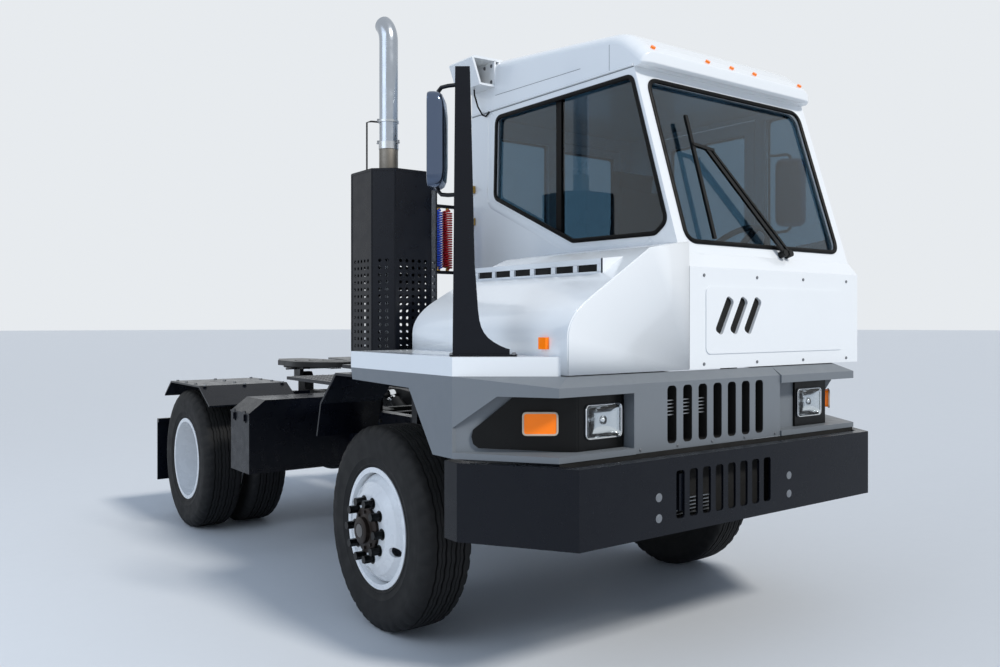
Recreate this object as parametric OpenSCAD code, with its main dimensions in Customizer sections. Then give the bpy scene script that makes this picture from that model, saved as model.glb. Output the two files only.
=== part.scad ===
// Yard truck (terminal tractor), whole vehicle, millimetres.
// X points forward, Y to the driver's left, Z up; the ground is Z = 0.
// Pieces are drawn from the front axle centre line and then moved so that
// the middle of the vehicle's length lies at X = 0.

/* [Chassis] */
// distance between the front and rear axle centres
wheelbase = 2943; // [2800:3100]
// front axle centre to the bumper's front face
bumper_x = 1410; // [1300:1500]
// front axle centre back to the rear face of the mud flaps
tail_x = 3640; // [3500:3800]
// half width over the fenders and the bumper
half_width = 1280; // [1250:1300]
// half width over the frame rails
rail_half = 432; // [420:440]
// underside of the frame rails
rail_z0 = 700; // [650:750]
// top of the frame rails
rail_z1 = 950; // [900:1000]

/* [Wheels] */
// tyre outer radius
tyre_r = 515; // [500:530]
// tyre section width
tyre_w = 280; // [270:300]
// front tyre centre plane from the middle of the vehicle
front_track_half = 1020; // [1000:1040]
// middle of the twin wheels from the middle of the vehicle
rear_track_half = 912; // [900:930]
// distance between the twin tyres' centre planes
dual_pitch = 335; // [320:350]
// king pin axis from the middle of the vehicle
kingpin_y = 830; // [800:850]
// number of wheel nuts
nuts = 10; // [8:10]

/* [Cab] */
// width of the cab over its walls
cab_w = 1350; // [1300:1400]
// width of the deck left of the cab
left_deck_w = 130; // [100:160]
// width of the deck right of the engine hood
right_deck_w = 355; // [330:400]
// rear face of the cab
cab_rear_x = -550; // [-600:-500]
// front face of the cab
cab_front_x = 1250; // [1200:1300]
// underside of the cab
cab_z0 = 1335; // [1330:1350]
// top of the lower front panel
belt_z = 1880; // [1850:1900]
// gutter line under the roof cap
gutter_z = 2810; // [2780:2840]
// height of the roof cap over the gutter line
roof_h = 310; // [280:340]
// wall thickness of the cab
wall = 45; // [40:50]
// length of the roof visor ahead of the screen's top edge
visor_reach = 69; // [50:90]

/* [Lift boom] */
// boom pivot behind the front axle
boom_x = 1450; // [1400:1500]
// boom pivot height
boom_z = 900; // [880:920]
// coupling plate pivot behind the front axle
plate_x = 2800; // [2750:2850]
// coupling plate pivot height
plate_z = 1110; // [1100:1120]
// lift cylinder foot pin behind the front axle
foot_x = 1950; // [1900:2000]
// lift cylinder foot pin height
foot_z = 760; // [750:780]
// lift cylinder head pin behind the front axle
head_x = 2350; // [2300:2400]
// lift cylinder head pin height
head_z = 960; // [940:980]

/* [Hidden] */
$fn = 64;
mid_x = (bumper_x - tail_x) / 2;
cab_y1 = half_width - left_deck_w;
cab_y0 = cab_y1 - cab_w;
hood_y = right_deck_w - half_width;
roof_z = gutter_z + roof_h;
stud_x = -220;
lamp_corner = half_width - 414;
grille_y0 = 682 - half_width;
grille_y1 = half_width - 880;
rear_x = -wheelbase;
screen_top_x = 886;
screen_base_x = 1190;
screen_lean = atan((screen_base_x - screen_top_x) / (gutter_z - belt_z));
screen_len = norm([screen_base_x - screen_top_x, gutter_z - belt_z]);
pane_h = screen_len - 118.4;
pane_mid = screen_len / 2 - 1.2;
function screen_at(z) = screen_base_x - (z - belt_z) * tan(screen_lean);
fascia_z0 = 990;
fascia_z1 = 1330;
deck_z1 = 1410;
lamp_y = half_width - 560;
lamp_z = 1135;
boom_drop = head_z - foot_z;
cyl_len = sqrt(pow(head_x - foot_x, 2) + pow(boom_drop, 2));
cyl_tilt = atan2(head_x - foot_x, boom_drop);
fit = 0.05;
cab_floor_z = cab_z0 + 40;

// moves a piece drawn from the front axle to its place on the vehicle
module place() {
  translate([-mid_x, 0, 0]) children();
}

module block(x0, x1, y0, y1, z0, z1) {
  translate([x0, y0, z0]) cube([x1 - x0, y1 - y0, z1 - z0]);
}

// side view outline (x, z) carried across from y0 to y1
module across(y0, y1) {
  translate([0, y1, 0]) rotate([90, 0, 0]) linear_extrude(y1 - y0) children();
}

// end view outline (y, z) carried along from x0 to x1
module along(x0, x1) {
  translate([x0, 0, 0]) rotate([90, 0, 90]) linear_extrude(x1 - x0) children();
}

// plan outline (x, y) carried up from z0 to z1
module upward(z0, z1) {
  translate([0, 0, z0]) linear_extrude(z1 - z0) children();
}

module both_sides() {
  children();
  mirror([0, 1, 0]) children();
}

module round_rect(w, h, r) {
  union() {
    square([w - 2 * r, h], center = true);
    square([w, h - 2 * r], center = true);
    for (sx = [-1, 1], sy = [-1, 1]) translate([sx * (w / 2 - r), sy * (h / 2 - r)]) circle(r);
  }
}

module rod_y(x, z, r, y0, y1) {
  translate([x, y1, z]) rotate([90, 0, 0]) cylinder(r = r, h = y1 - y0);
}

// FRAME

module frame() color("#22262b") place() {
  difference() {
    union() {
      both_sides() {
        along(40 - tail_x, 1180) polygon([
          [rail_half - 80, rail_z0], [rail_half, rail_z0], [rail_half, rail_z1], [rail_half - 80, rail_z1],
          [rail_half - 80, rail_z1 - 12], [rail_half - 10, rail_z1 - 12],
          [rail_half - 10, rail_z0 + 12], [rail_half - 80, rail_z0 + 12]]);
        block(1180, 1398, 360, 424, 740, 900);
      }
      // engine mounts, and posts under the cab
      block(300, 400, -360, -340, rail_z0, rail_z0 + 30);
      block(300, 400, 200, 360, rail_z0, rail_z0 + 30);
      for (x = [-480, 950]) block(x, x + 60, 360, 424, rail_z1, cab_z0);
      block(950, 1010, -424, -360, rail_z1, fascia_z1 - 10);
      // cross members: x0, x1, z0, z1
      for (c = [[1100, 1160, 720, 800], [-1020, -940, 720, 900], [-1330, -1250, 712, 880], [40 - tail_x,
        80 - tail_x, 715, 935]])
        block(c[0], c[1], -(rail_half - 9), rail_half - 9, c[2], c[3]);
      rod_y(-boom_x, boom_z, 30, -(rail_half - 9), rail_half - 9);
      rod_y(-foot_x, foot_z, 25, -(rail_half - 9), rail_half - 9);
    }
  }
}

// plan strip of the bumper: half width in front, chamfer, side return
module bumper_plan(t, c = half_width - 280) {
  difference() {
    polygon([[bumper_x, -c], [bumper_x, c], [965, half_width], [870, half_width],
      [870, -half_width], [965, -half_width]]);
    polygon([[bumper_x - t, -c + 0.31 * t], [bumper_x - t, c - 0.31 * t],
      [965 - 0.3 * t, half_width - t], [860, half_width - t], [860, -half_width + t],
      [965 - 0.3 * t, -half_width + t]]);
  }
}

module front_bumper() color("#17191c") place() {
  difference() {
    union() {
      upward(653, 977) bumper_plan(12);
      upward(653, 665) bumper_plan(60);
      upward(965, 977) bumper_plan(60);
    }
    for (i = [0 : 7]) translate([bumper_x - 80, -430 + i * 84, 816])
      rotate([90, 0, 90]) linear_extrude(100) round_rect(52, 206, 14);
  }
}

// FASCIA

grille_mid = (grille_y0 + grille_y1) / 2 + 35;
slots = floor((grille_y1 - grille_y0 - 290) / 101);
module grille_panel() color("#8b9094") place() {
  difference() {
    across(grille_y0, grille_y1) polygon([[1300, fascia_z0], [1300, 1290], [cab_front_x, fascia_z1],
      [1235, fascia_z1], [1235, fascia_z0]]);
    for (i = [0 : slots - 1]) translate([1200, grille_mid + (i - (slots - 1) / 2) * 101, 1145])
      rotate([90, 0, 90]) linear_extrude(150) round_rect(59, 256, 20);
  }
}

// plan of one lamp panel: front x, chamfer corner, side corner
module lamp_plan(x, yc, ys, yi) {
  polygon([[930, ys], [x, yc], [x, yi], [1150, yi], [930, 1100]]);
}

module lamp_panel(yi) {
  upward(fascia_z0, 1015) lamp_plan(1310, half_width - 260, half_width, yi);
  upward(1015, 1252) lamp_plan(1225, lamp_corner, half_width - 18, yi);
  upward(1252, 1290) lamp_plan(1310, half_width - 260, half_width, yi);
  // brow running down to the fender behind the lamps
  intersection() {
    upward(1100, 1252) lamp_plan(1310, half_width - 260, half_width, yi);
    on_chamfer() across(-1, 120) polygon([[520, 1108], [520, 1252], [322, 1252]]);
  }
  hull() {
    upward(1289, 1290) lamp_plan(1310, half_width - 260, half_width, yi);
    upward(fascia_z1 - 1, fascia_z1) lamp_plan(cab_front_x, half_width - 350, half_width, yi);
  }
}

module lamp_panels() color("#8b9094") place() {
  lamp_panel(grille_y1);
  mirror([0, 1, 0]) lamp_panel(-grille_y0);
}

// stands children on the recessed chamfer of the left lamp panel, x to the rear along it
module on_chamfer() {
  translate([1225, lamp_corner, 0]) rotate([0, 0, 180 - atan2(396, 295)]) mirror([0, 1, 0]) children();
}

module lamp_bezels() color("#121416") place() both_sides() {
  difference() {
    block(1225, 1238, lamp_y - 115, lamp_corner - 6, 1016, 1250);
    translate([1200, lamp_y, lamp_z]) rotate([90, 0, 90]) linear_extrude(100) round_rect(210, 152, 24);
  }
  on_chamfer() across(0, 12) polygon([[14, 1016], [400, 1034], [422, 1052], [429, 1082], [422, 1110],
    [262, 1240], [240, 1250], [14, 1250]]);
}

module headlamps() color("#dfe8ee") place() both_sides()
  translate([1225, lamp_y, lamp_z]) rotate([90, 0, 90]) linear_extrude(22) round_rect(206, 148, 22);

module amber_lamps() color("#f08a1c") place() {
  both_sides() on_chamfer() translate([145, 36, 1136]) rotate([90, 0, 0])
    linear_extrude(24) round_rect(138, 88, 14);
  // side marker on the engine hood
  block(1075, 1125, hood_y - 18, hood_y, 1440, 1490);
  // round markers on the roof visor
  for (y = [-590, -190, 0, 190, 590]) visor_spot(screen_mid + y) cylinder(r = 13, h = 10);
}

// FENDERS AND DECKS

module front_fenders() color("#8b9094") place() both_sides() {
  across(half_width - 40, half_width) polygon([[930, fascia_z0], [775, fascia_z0], [570, 1262], [15, 1272],
    [0, fascia_z1], [930, fascia_z1]]);
  block(0, 930, half_width - 340, half_width - 40, 1289, fascia_z1);
}

module side_decks() color("#f2f4f5") place() {
  upward(fascia_z1, deck_z1) polygon([[0, -half_width], [930, -half_width], [1204, hood_y], [0, hood_y]]);
  upward(fascia_z1, deck_z1) polygon([[0, half_width], [930, half_width], [1027, cab_y1], [0, cab_y1]]);
}

module mirror_post() color("#1a1c1f") place()
  translate([870, 100 - half_width, 0]) rotate([0, 0, 52]) across(-30, 30)
    polygon([[-45, deck_z1], [190, deck_z1], [190, 1425], [60, 1560], [42, 1800], [22, 2630], [-34, 2630]]);

module mirror_head() {
  translate([0, 0, 2332]) rotate([90, 0, 0]) translate([0, 0, -37]) linear_extrude(75)
    round_rect(180, 410, 30);
}

module mirrors() color("#1a1c1f") {
  difference() {
    place() {
      translate([757, 38 - half_width, 0]) rotate([0, 0, 142]) mirror_head();
      for (z = [2180, 2480]) translate([757, 38 - half_width, z]) rotate([0, 0, 28.75])
        block(0, 129, -10, 10, 0, 20);
    }
    mirror_post();
  }
  place() {
    translate([740, half_width - 38, 0]) rotate([0, 0, 38]) mirror_head();
    for (z = [2180, 2480]) {
      block(600, 635, cab_y1, half_width - 30, z, z + 20);
      block(600, 700, half_width - 50, half_width - 30, z, z + 20);
    }
  }
}

// EXHAUST

shroud_c = [-345, 430 - half_width];
// stack axis from the shroud's middle
stack_d = [-10, -30];
module shroud_plan(w, d, c) {
  polygon([[-d / 2 + c, -w / 2], [d / 2 - c, -w / 2], [d / 2, -w / 2 + c], [d / 2, w / 2 - c],
    [d / 2 - c, w / 2], [-d / 2 + c, w / 2], [-d / 2, w / 2 - c], [-d / 2, -w / 2 + c]]);
}

module exhaust_shroud() color("#1a1c1f") place() translate([shroud_c[0], shroud_c[1], 0]) {
  difference() {
    upward(1315, 2367) shroud_plan(400, 415, 90);
    upward(1300, 2361) shroud_plan(394, 409, 88);
    translate([stack_d[0], stack_d[1], 2300]) cylinder(r = 56, h = 100);
  }
}

module exhaust_stack() color("#b9bcbe") place() translate([shroud_c[0] + stack_d[0],
  shroud_c[1] + stack_d[1], 0]) {
  difference() {
    union() {
      translate([0, 0, 1315]) cylinder(r = 51, h = 1785);
      translate([-130, 0, 3100]) rotate([90, 0, 0]) rotate_extrude(angle = 55) translate([130, 0]) circle(51);
    }
    translate([0, 0, 2300]) cylinder(r = 48, h = 800.1);
    translate([-130, 0, 3100]) rotate([90, 0, 0]) rotate_extrude(angle = 55) translate([130, 0]) circle(48);
  }
}

// ENGINE AND AXLES

module engine() color("#3a3d40") place() {
  block(-150, 900, -340, 200, 620, 1290);
  block(-900, -150, -210, 110, 600, 900);
}

module radiator() color("#2b2e31") place() block(1040, 1120, -560, 320, rail_z1, 1290);

module front_axle() color("#26292c") place() translate([0, 0, tyre_r]) difference() {
  union() {
    block(-50, 50, 40 - kingpin_y, kingpin_y - 40, -85, -10);
    both_sides() {
      translate([0, kingpin_y, -85]) cylinder(r = 45, h = 160);
      // leaf spring and its hangers
      block(-560, 560, rail_half - 80, rail_half - 10, -10, 45);
      block(-560, -500, rail_half - 80, rail_half - 10, 45, rail_z0 - tyre_r);
      block(500, 560, rail_half - 80, rail_half - 10, 45, rail_z0 - tyre_r);
    }
  }
  both_sides() translate([0, kingpin_y, -95]) cylinder(r = 20 + fit, h = 200);
}

module knuckle() translate([0, kingpin_y, tyre_r]) {
  for (z = [-127, 77]) {
    translate([0, 0, z]) cylinder(r = 45, h = 40);
    block(-45, 45, 0, 60, z, z + 40);
  }
  translate([0, 0, -127]) cylinder(r = 20, h = 244);
  block(-45, 45, 48, 62, -127, 117);
  translate([0, 60, 0]) rotate([-90, 0, 0]) cylinder(r = 40, h = front_track_half - kingpin_y + 100 - 60);
  // steering arm and its stud, straight behind the king pin
  upward(-127, -103) polygon([[-20, -30], [-20, 30], [stud_x, 24], [stud_x - 22, 14], [stud_x - 22, -14],
    [stud_x, -24]]);
  translate([stud_x, 0, -115]) cylinder(r = 10, h = 56);
}

module knuckle_left() color("#2b2e31") place() knuckle();
module knuckle_right() color("#2b2e31") place() mirror([0, 1, 0]) knuckle();

module tie_rod() color("#2b2e31") place() translate([0, 0, tyre_r]) difference() {
  union() {
    rod_y(stud_x, -81, 15, 15 - kingpin_y, kingpin_y - 15);
    for (s = [-1, 1]) translate([stud_x, s * kingpin_y, -99]) cylinder(r = 24, h = 36);
  }
  translate([stud_x, -kingpin_y, -115]) cylinder(r = 10 + fit, h = 60);
  translate([stud_x, kingpin_y, -115]) cylinder(r = 12, h = 60);
}

// drive shaft from the axle's nose to the gearbox
shaft_dx = -903 - (rear_x + 163);
shaft_dz = 647 - (tyre_r + 30);
module rear_axle() color("#26292c") place() {
  rod_y(rear_x, tyre_r, 85, 322 - rear_track_half, rear_track_half - 322);
  rod_y(rear_x, tyre_r, 45, -(rear_track_half + 70), rear_track_half + 70);
  translate([rear_x, 0, tyre_r]) sphere(r = 200);
  translate([rear_x + 163, 0, tyre_r + 30]) rotate([0, atan2(shaft_dx, shaft_dz), 0])
    cylinder(r = 50, h = sqrt(shaft_dx * shaft_dx + shaft_dz * shaft_dz) - 6);
  both_sides() block(rear_x - 120, rear_x + 120, rail_half - 80, rail_half, tyre_r, rail_z0);
}

// WHEELS: drawn with z outward from the tyre's centre plane

module tyre() difference() {
  rotate_extrude() polygon([[290.3, -113.5], [305, -116.5], [330, -128], [420, -tyre_w / 2], [470, -136],
    [502, -120],
    [tyre_r, -96], [tyre_r, 96], [502, 120], [470, 136], [420, tyre_w / 2], [330, 128], [305, 116.5],
      [290.3, 113.5]]);
  for (z = [-72, -26, 26, 72]) rotate_extrude() translate([tyre_r - 13, z - 5]) square([20, 10]);
}

module rim() rotate_extrude() polygon([[278, -126], [304, -126], [304, -118], [290, -114.3], [290, 114.3],
  [304, 118], [304, 126], [278, 126]]);

module nut_ring(z, h) for (i = [0 : nuts - 1]) rotate([0, 0, 360 / nuts * i])
  translate([143, 0, z]) cylinder(r = 17, h = h);

module front_wheel() {
  rim();
  difference() {
    rotate_extrude() polygon([[280, 55], [268, 92], [232, 134], [192, 158], [175, 165], [100, 165], [100,
      152],
      [172, 152], [186, 146], [222, 124], [254, 86], [266, 55]]);
    for (a = [20, 200]) rotate([0, 0, a]) translate([228, 0, 60]) cylinder(r = 26, h = 120);
  }
  nut_ring(164, 42);
  // hub and drum turning on the spindle
  rotate_extrude() polygon([[40 + fit, -105], [75, -105], [75, -60], [205, -60], [205, 60], [190, 60],
    [190, -45],
    [110, -45], [110, 178], [60, 178], [60, 210], [0, 210], [0, 125], [40 + fit, 125]]);
}

module rear_disc() difference() {
  rotate_extrude() polygon([[280, 110], [268, 110], [250, 62], [212, 26], [180, 12], [105, 12], [105, 0],
    [184, 0], [220, 14], [262, 54], [280, 80]]);
  for (a = [70, 250]) rotate([0, 0, a]) translate([228, 0, -20]) cylinder(r = 26, h = 120);
}

module rear_wheels() {
  for (s = [-1, 1]) translate([0, 0, s * dual_pitch / 2]) rim();
  rear_disc();
  mirror([0, 0, 1]) rear_disc();
  nut_ring(11, 34);
  rotate_extrude() polygon([[45 + fit, -250], [80, -250], [80, -210], [205, -210], [205, -60], [190, -60],
    [190, -195], [106, -195], [106, 120], [80, 130], [0, 130], [0, 75], [45 + fit, 75]]);
}

module rear_tyres() for (s = [-1, 1]) translate([0, 0, s * dual_pitch / 2]) tyre();

module wheel_at(x, y) {
  translate([x, y, tyre_r]) rotate([-90, 0, 0]) children();
}

module front_wheel_left() color("#eceeef") place() wheel_at(0, front_track_half) front_wheel();
module front_wheel_right() color("#eceeef") place() mirror([0, 1, 0]) wheel_at(0, front_track_half)
  front_wheel();
module front_tyre_left() color("#1b1b1c") place() wheel_at(0, front_track_half) tyre();
module front_tyre_right() color("#1b1b1c") place() mirror([0, 1, 0]) wheel_at(0, front_track_half) tyre();
module rear_wheels_left() color("#eceeef") place() wheel_at(rear_x, rear_track_half) rear_wheels();
module rear_wheels_right() color("#eceeef") place() mirror([0, 1, 0]) wheel_at(rear_x, rear_track_half)
  rear_wheels();
module rear_tyres_left() color("#1b1b1c") place() wheel_at(rear_x, rear_track_half) rear_tyres();
module rear_tyres_right() color("#1b1b1c") place() mirror([0, 1, 0]) wheel_at(rear_x, rear_track_half)
  rear_tyres();

// PIECES BEHIND THE CAB

module fuel_tank() color("#9aa0a4") place() {
  difference() {
    translate([-1850, 760, 735]) rotate([0, 90, 0]) translate([0, 0, -400]) linear_extrude(800)
      round_rect(420, 560, 110);
    block(-2300, -1400, 300, rail_half, 400, 1100);
  }
  for (x = [-2150, -1600]) block(x, x + 60, rail_half, 520, rail_z0, 800);
}

module battery_box() color("#17191c") place()
  along(-2110, -1765) polygon([[-1150, 545], [-1150, 945], [-1040, 1030], [-rail_half, 1030],
    [-rail_half, 545]]);

module catwalk() color("#1a1c1f") place() {
  block(-1500, -570, 280 - half_width, half_width - 180, 1180, 1200);
  both_sides() for (x = [-1460, -700]) block(x, x + 60, 360, 424, rail_z1, 1180);
  // exhaust carrier
  block(-560, -130, 220 - half_width, -rail_half, 1295, 1315);
  block(-520, -460, -rail_half - 208, -rail_half, 800, 1295);
  // hose rack
  block(-720, -680, -200, -160, 1200, 2300);
  for (z = [hose_z0 - 20, hose_z1]) block(-710, -690, -395, -199, z, z + 20);
  // boarding steps on the left
  for (z = [560, 860]) block(-1000, -700, half_width - 280, half_width - 40, z, z + 25);
  for (x = [-1012, -700]) block(x, x + 12, half_width - 280, half_width - 180, 560, 1180);
}

hose_z0 = 1870;
hose_z1 = 2260;
module air_hose_red() color("#b3262a") place() translate([-700, -284, hose_z0])
  cylinder(r = 34, h = hose_z1 - hose_z0);
module air_hose_blue() color("#1f4fa3") place() translate([-700, -347, hose_z0])
  cylinder(r = 26, h = hose_z1 - hose_z0);

// fender plate over the twin tyres, its under face raised by h
module fender_line(h) polygon([[tyre_r + 98, tyre_r + 435], [tyre_r - 132, 2 * tyre_r + 45],
  [208 - tyre_r, 2 * tyre_r + 45],
  [38 - tyre_r, tyre_r + 445], [38 - tyre_r, tyre_r + 445 + h], [206 - tyre_r, 2 * tyre_r + 45 + h],
  [tyre_r - 130, 2 * tyre_r + 45 + h], [tyre_r + 106, tyre_r + 433 + h]]);

module rear_fenders() color("#1a1c22") place() both_sides() {
  translate([rear_x, 0, 0]) {
    across(rear_track_half - 342, rear_track_half + 318) fender_line(12);
    block(tyre_r - 52, tyre_r - 12, rail_half, rear_track_half - 332, rail_z1 - 50, 2 * tyre_r - 5);
    block(98 - tyre_r, 138 - tyre_r, rail_half, rear_track_half - 332, rail_z1 - 50, 2 * tyre_r - 5);
  }
  // mud flap and its hanger
  block(-tail_x, 12 - tail_x, rear_track_half - 312, rear_track_half + 318, 260, 760);
  block(12 - tail_x, 40 - tail_x, rail_half - 80, rear_track_half + 318, 730, 760);
  // guard behind the front wheel
  across(half_width - 400, half_width - 40) polygon([[60, 1276], [255 - tyre_r, 1276], [75 - tyre_r, 1114],
    [25 - tyre_r, 934], [13 - tyre_r, 938], [63 - tyre_r, 1120], [250 - tyre_r, 1289], [60, 1289]]);
}

module tail_lamps() color("#b01818") place() both_sides()
  block(12 - tail_x, 36 - tail_x, 480, 580, 760, 860);

// LIFT BOOM AND COUPLING PLATE

module lift_boom() color("#26292c") place() difference() {
  union() {
    both_sides() {
      across(270, 345) polygon([[-1400, 850], [-1400, 950], [-2300, 1010], [-2740, 1010], [-2740, 1110],
        [-2770, 1150], [-2830, 1150], [-2870, 1110], [-2870, 900], [-2500, 880], [-1600, 850]]);
    }
    block(-2700, -2640, -275, 275, 900, 990);
    block(-1700, -1640, -275, 275, 860, 940);
    rod_y(-head_x, head_z, 18, -275, 275);
  }
  rod_y(-boom_x, boom_z, 30 + fit, -500, 500);
  rod_y(-plate_x, plate_z, 25 + fit, -500, 500);
}

module at_foot(y) {
  translate([-foot_x, y, foot_z]) rotate([0, -cyl_tilt, 0]) children();
}

module lift_barrels() color("#26292c") place() for (y = [-215, 215]) at_foot(y) difference() {
  union() {
    rotate([90, 0, 0]) translate([0, 0, -25]) cylinder(r = 40, h = 50);
    translate([0, 0, 30]) cylinder(r = 45, h = cyl_len - 30 - 90);
  }
  rotate([90, 0, 0]) translate([0, 0, -40]) cylinder(r = 25 + fit, h = 80);
  translate([0, 0, 60]) cylinder(r = 26, h = cyl_len);
}

module lift_rods() color("#c9ccce") place() for (y = [-215, 215]) at_foot(y) difference() {
  union() {
    translate([0, 0, 70]) cylinder(r = 25.9, h = cyl_len - 70 - 30);
    translate([0, 0, cyl_len]) rotate([90, 0, 0]) translate([0, 0, -25]) cylinder(r = 45, h = 50);
  }
  translate([0, 0, cyl_len]) rotate([90, 0, 0]) translate([0, 0, -40]) cylinder(r = 36, h = 80);
}

module fifth_wheel() color("#1d1f22") place() difference() {
  union() {
    difference() {
      upward(1195, 1235) difference() {
        union() {
          translate([-plate_x, 0]) circle(440);
          translate([-plate_x - 260, -440]) square([260, 880]);
          polygon([[-plate_x - 250, -440], [-plate_x - 520, -330], [-plate_x - 520, -120],
            [-plate_x - 250, -60]]);
          polygon([[-plate_x - 250, 440], [-plate_x - 520, 330], [-plate_x - 520, 120],
            [-plate_x - 250, 60]]);
        }
        translate([-plate_x, 0]) circle(27);
        polygon([[-plate_x, -27], [-plate_x, 27], [-plate_x - 260, 60], [-plate_x - 530, 125],
          [-plate_x - 530, -125], [-plate_x - 260, -60]]);
      }
    }
    // pivot ears and pin
    both_sides() block(-plate_x - 60, -plate_x + 60, 355, 385, 1080, 1196);
    both_sides() rod_y(-plate_x, plate_z, 25, 262, 380);
  }
}

// CAB

module cab_side() polygon([[cab_rear_x + wall, cab_z0 + 40], [cab_front_x - wall, cab_z0 + 40],
  [cab_front_x - wall, 1800], [screen_base_x - wall, belt_z], [screen_top_x - wall, gutter_z],
  [cab_rear_x + wall, gutter_z]]);

module cab_floor() color("#2b2e31") place()
  block(cab_rear_x + wall, cab_front_x - wall, cab_y0, cab_y1, cab_z0, cab_z0 + 40);

module front_panel() color("#f2f4f5") place() difference() {
  union() {
    across(cab_y0, cab_y1) polygon([[cab_front_x, cab_z0], [cab_front_x, 1810], [screen_base_x, belt_z],
      [screen_base_x - wall, belt_z], [cab_front_x - wall, 1800], [cab_front_x - wall, cab_z0]]);
    // pressed field round the vents
    translate([cab_front_x - 1, screen_mid - 15, 1562]) rotate([90, 0, 90]) linear_extrude(6)
      round_rect(cab_w - 250, 315, 30);
  }
  for (i = [0 : 2]) translate([cab_front_x - 25, cab_y0 + 240 + i * 104, 1585]) rotate([90, 0, 90])
    linear_extrude(40) rotate(-28.5) round_rect(56, 190, 18);
}

module on_screen() {
  translate([screen_base_x, 0, belt_z]) rotate([0, -screen_lean, 0]) children();
}

screen_mid = (cab_y0 + cab_y1) / 2;
module screen_frame() color("#f2f4f5") place() difference() {
  across(cab_y0, cab_y1) polygon([[screen_base_x, belt_z], [screen_top_x, gutter_z],
    [screen_top_x - wall, gutter_z], [screen_base_x - wall, belt_z]]);
  on_screen() translate([-150, screen_mid, pane_mid]) rotate([90, 0, 90]) linear_extrude(300)
    round_rect(cab_w - 140, pane_h, 70);
  across(cab_y0 - 10, cab_y0 + wall + 10) side_window();
}

module side_window() {
  polygon([[-285, gutter_z - 45], [screen_at(gutter_z - 45) - 30.7, gutter_z - 45],
    [screen_at(belt_z + 150) - 36, belt_z + 150], [1030, belt_z + 98], [420, belt_z + 104],
    [-300, belt_z + 410]]);
}

module cab_right_wall() color("#f2f4f5") place() difference() {
  across(cab_y0, cab_y0 + wall) cab_side();
  across(cab_y0 - 10, cab_y0 + wall + 10) side_window();
}

module left_fixed_window() polygon([[650, gutter_z - 45], [screen_at(gutter_z - 45) - 50.7, gutter_z - 45],
  [screen_at(belt_z + 130) - 72.5, belt_z + 130], [650, belt_z + 80]]);

door_x0 = -220;
door_x1 = 580;
module cab_left_wall() color("#f2f4f5") place() difference() {
  union() {
    across(cab_y1 - wall, cab_y1) cab_side();
    for (z = hinge_z) {
      translate([hinge_x, hinge_y, z]) cylinder(r = 14, h = 50);
      block(hinge_x + 5, hinge_x + 60, cab_y1 - 1, cab_y1 + 10, z, z + 50);
    }
  }
  for (z = hinge_z) translate([hinge_x, hinge_y, z - 1]) cylinder(r = 7 + fit, h = 60);
  across(cab_y1 - wall - 10, cab_y1 + 10) left_fixed_window();
  block(door_x0, door_x1, cab_y1 - wall - 10, cab_y1 + 10, cab_z0 + 40 + 40, gutter_z - 30);
}

// hinge axis of the left door, and its two hinge heights
hinge_x = door_x1 - 3;
hinge_y = cab_y1 + 15;
hinge_z = [1600, 2500];

module left_door() color("#f2f4f5") place() difference() {
  union() {
    block(door_x0 + 7, door_x1 - 7, cab_y1 - wall, cab_y1, cab_z0 + 87, gutter_z - 37);
    for (z = hinge_z) {
      translate([hinge_x, hinge_y, z - 50]) cylinder(r = 14, h = 49.7);
      translate([hinge_x, hinge_y, z - 50]) cylinder(r = 7, h = 100);
      block(hinge_x - 60, hinge_x, cab_y1 - 1, cab_y1 + 10, z - 50, z - 0.3);
    }
  }
  block(door_x0 + 80, door_x1 - 80, cab_y1 - wall - 10, cab_y1 + 10, belt_z + 70, gutter_z - 110);
}

module left_door_glass() color("#6f8ba0") place()
  block(door_x0 + 80, door_x1 - 80, cab_y1 - 26, cab_y1 - 20, belt_z + 70, gutter_z - 110);

module cab_rear_wall() color("#f2f4f5") place() difference() {
  union() {
    block(cab_rear_x, cab_rear_x + wall, cab_y0, cab_y1, cab_z0, gutter_z);
    rear_track();
  }
  block(cab_rear_x - 10, cab_rear_x + wall + 10, cab_y1 - 680, cab_y1 - 90, cab_z0 + 60, gutter_z - 70);
  block(cab_rear_x - 10, cab_rear_x + wall + 10, cab_y0 + 100, cab_y0 + 580, 2100, gutter_z - 110);
}

// track that the rear door hangs from
module rear_track() block(cab_rear_x - 50, cab_rear_x, cab_y0 + 10, cab_y1 - 40, gutter_z - 44.7,
  gutter_z - 10);

module rear_door() color("#f2f4f5") place() difference() {
  union() {
    block(cab_rear_x - 42, cab_rear_x - 7, cab_y1 - 700, cab_y1 - 70, cab_z0 + 45, gutter_z - 45);
  }
  block(cab_rear_x - 60, cab_rear_x + 5, cab_y1 - 630, cab_y1 - 140, belt_z + 70, gutter_z - 120);
}

module rear_door_glass() color("#6f8ba0") place()
  block(cab_rear_x - 28, cab_rear_x - 22, cab_y1 - 630, cab_y1 - 140, belt_z + 70, gutter_z - 120);

visor_x = screen_top_x + visor_reach;
// roof profile, its upper face let down by d
module roof_side(d) polygon([[cab_rear_x, gutter_z], [visor_x - 15, gutter_z], [visor_x, gutter_z + 14],
  [visor_x - 2, gutter_z + 72 - d], [visor_x - 50, gutter_z + 115 - d], [visor_x - 170,
    gutter_z + 0.66 * roof_h - d],
  [400, gutter_z + 0.79 * roof_h - d], [-300, roof_z - d], [-500, roof_z - 20 - d], [cab_rear_x,
    roof_z - 80 - d]]);
module roof_void() polygon([[cab_rear_x + 40, gutter_z - 10], [screen_top_x - 60, gutter_z - 10],
  [visor_x - 195, gutter_z + 0.66 * roof_h - 45], [380, gutter_z + 0.79 * roof_h - 45], [-300, roof_z - 45],
  [cab_rear_x + 40, roof_z - 95]]);

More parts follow.
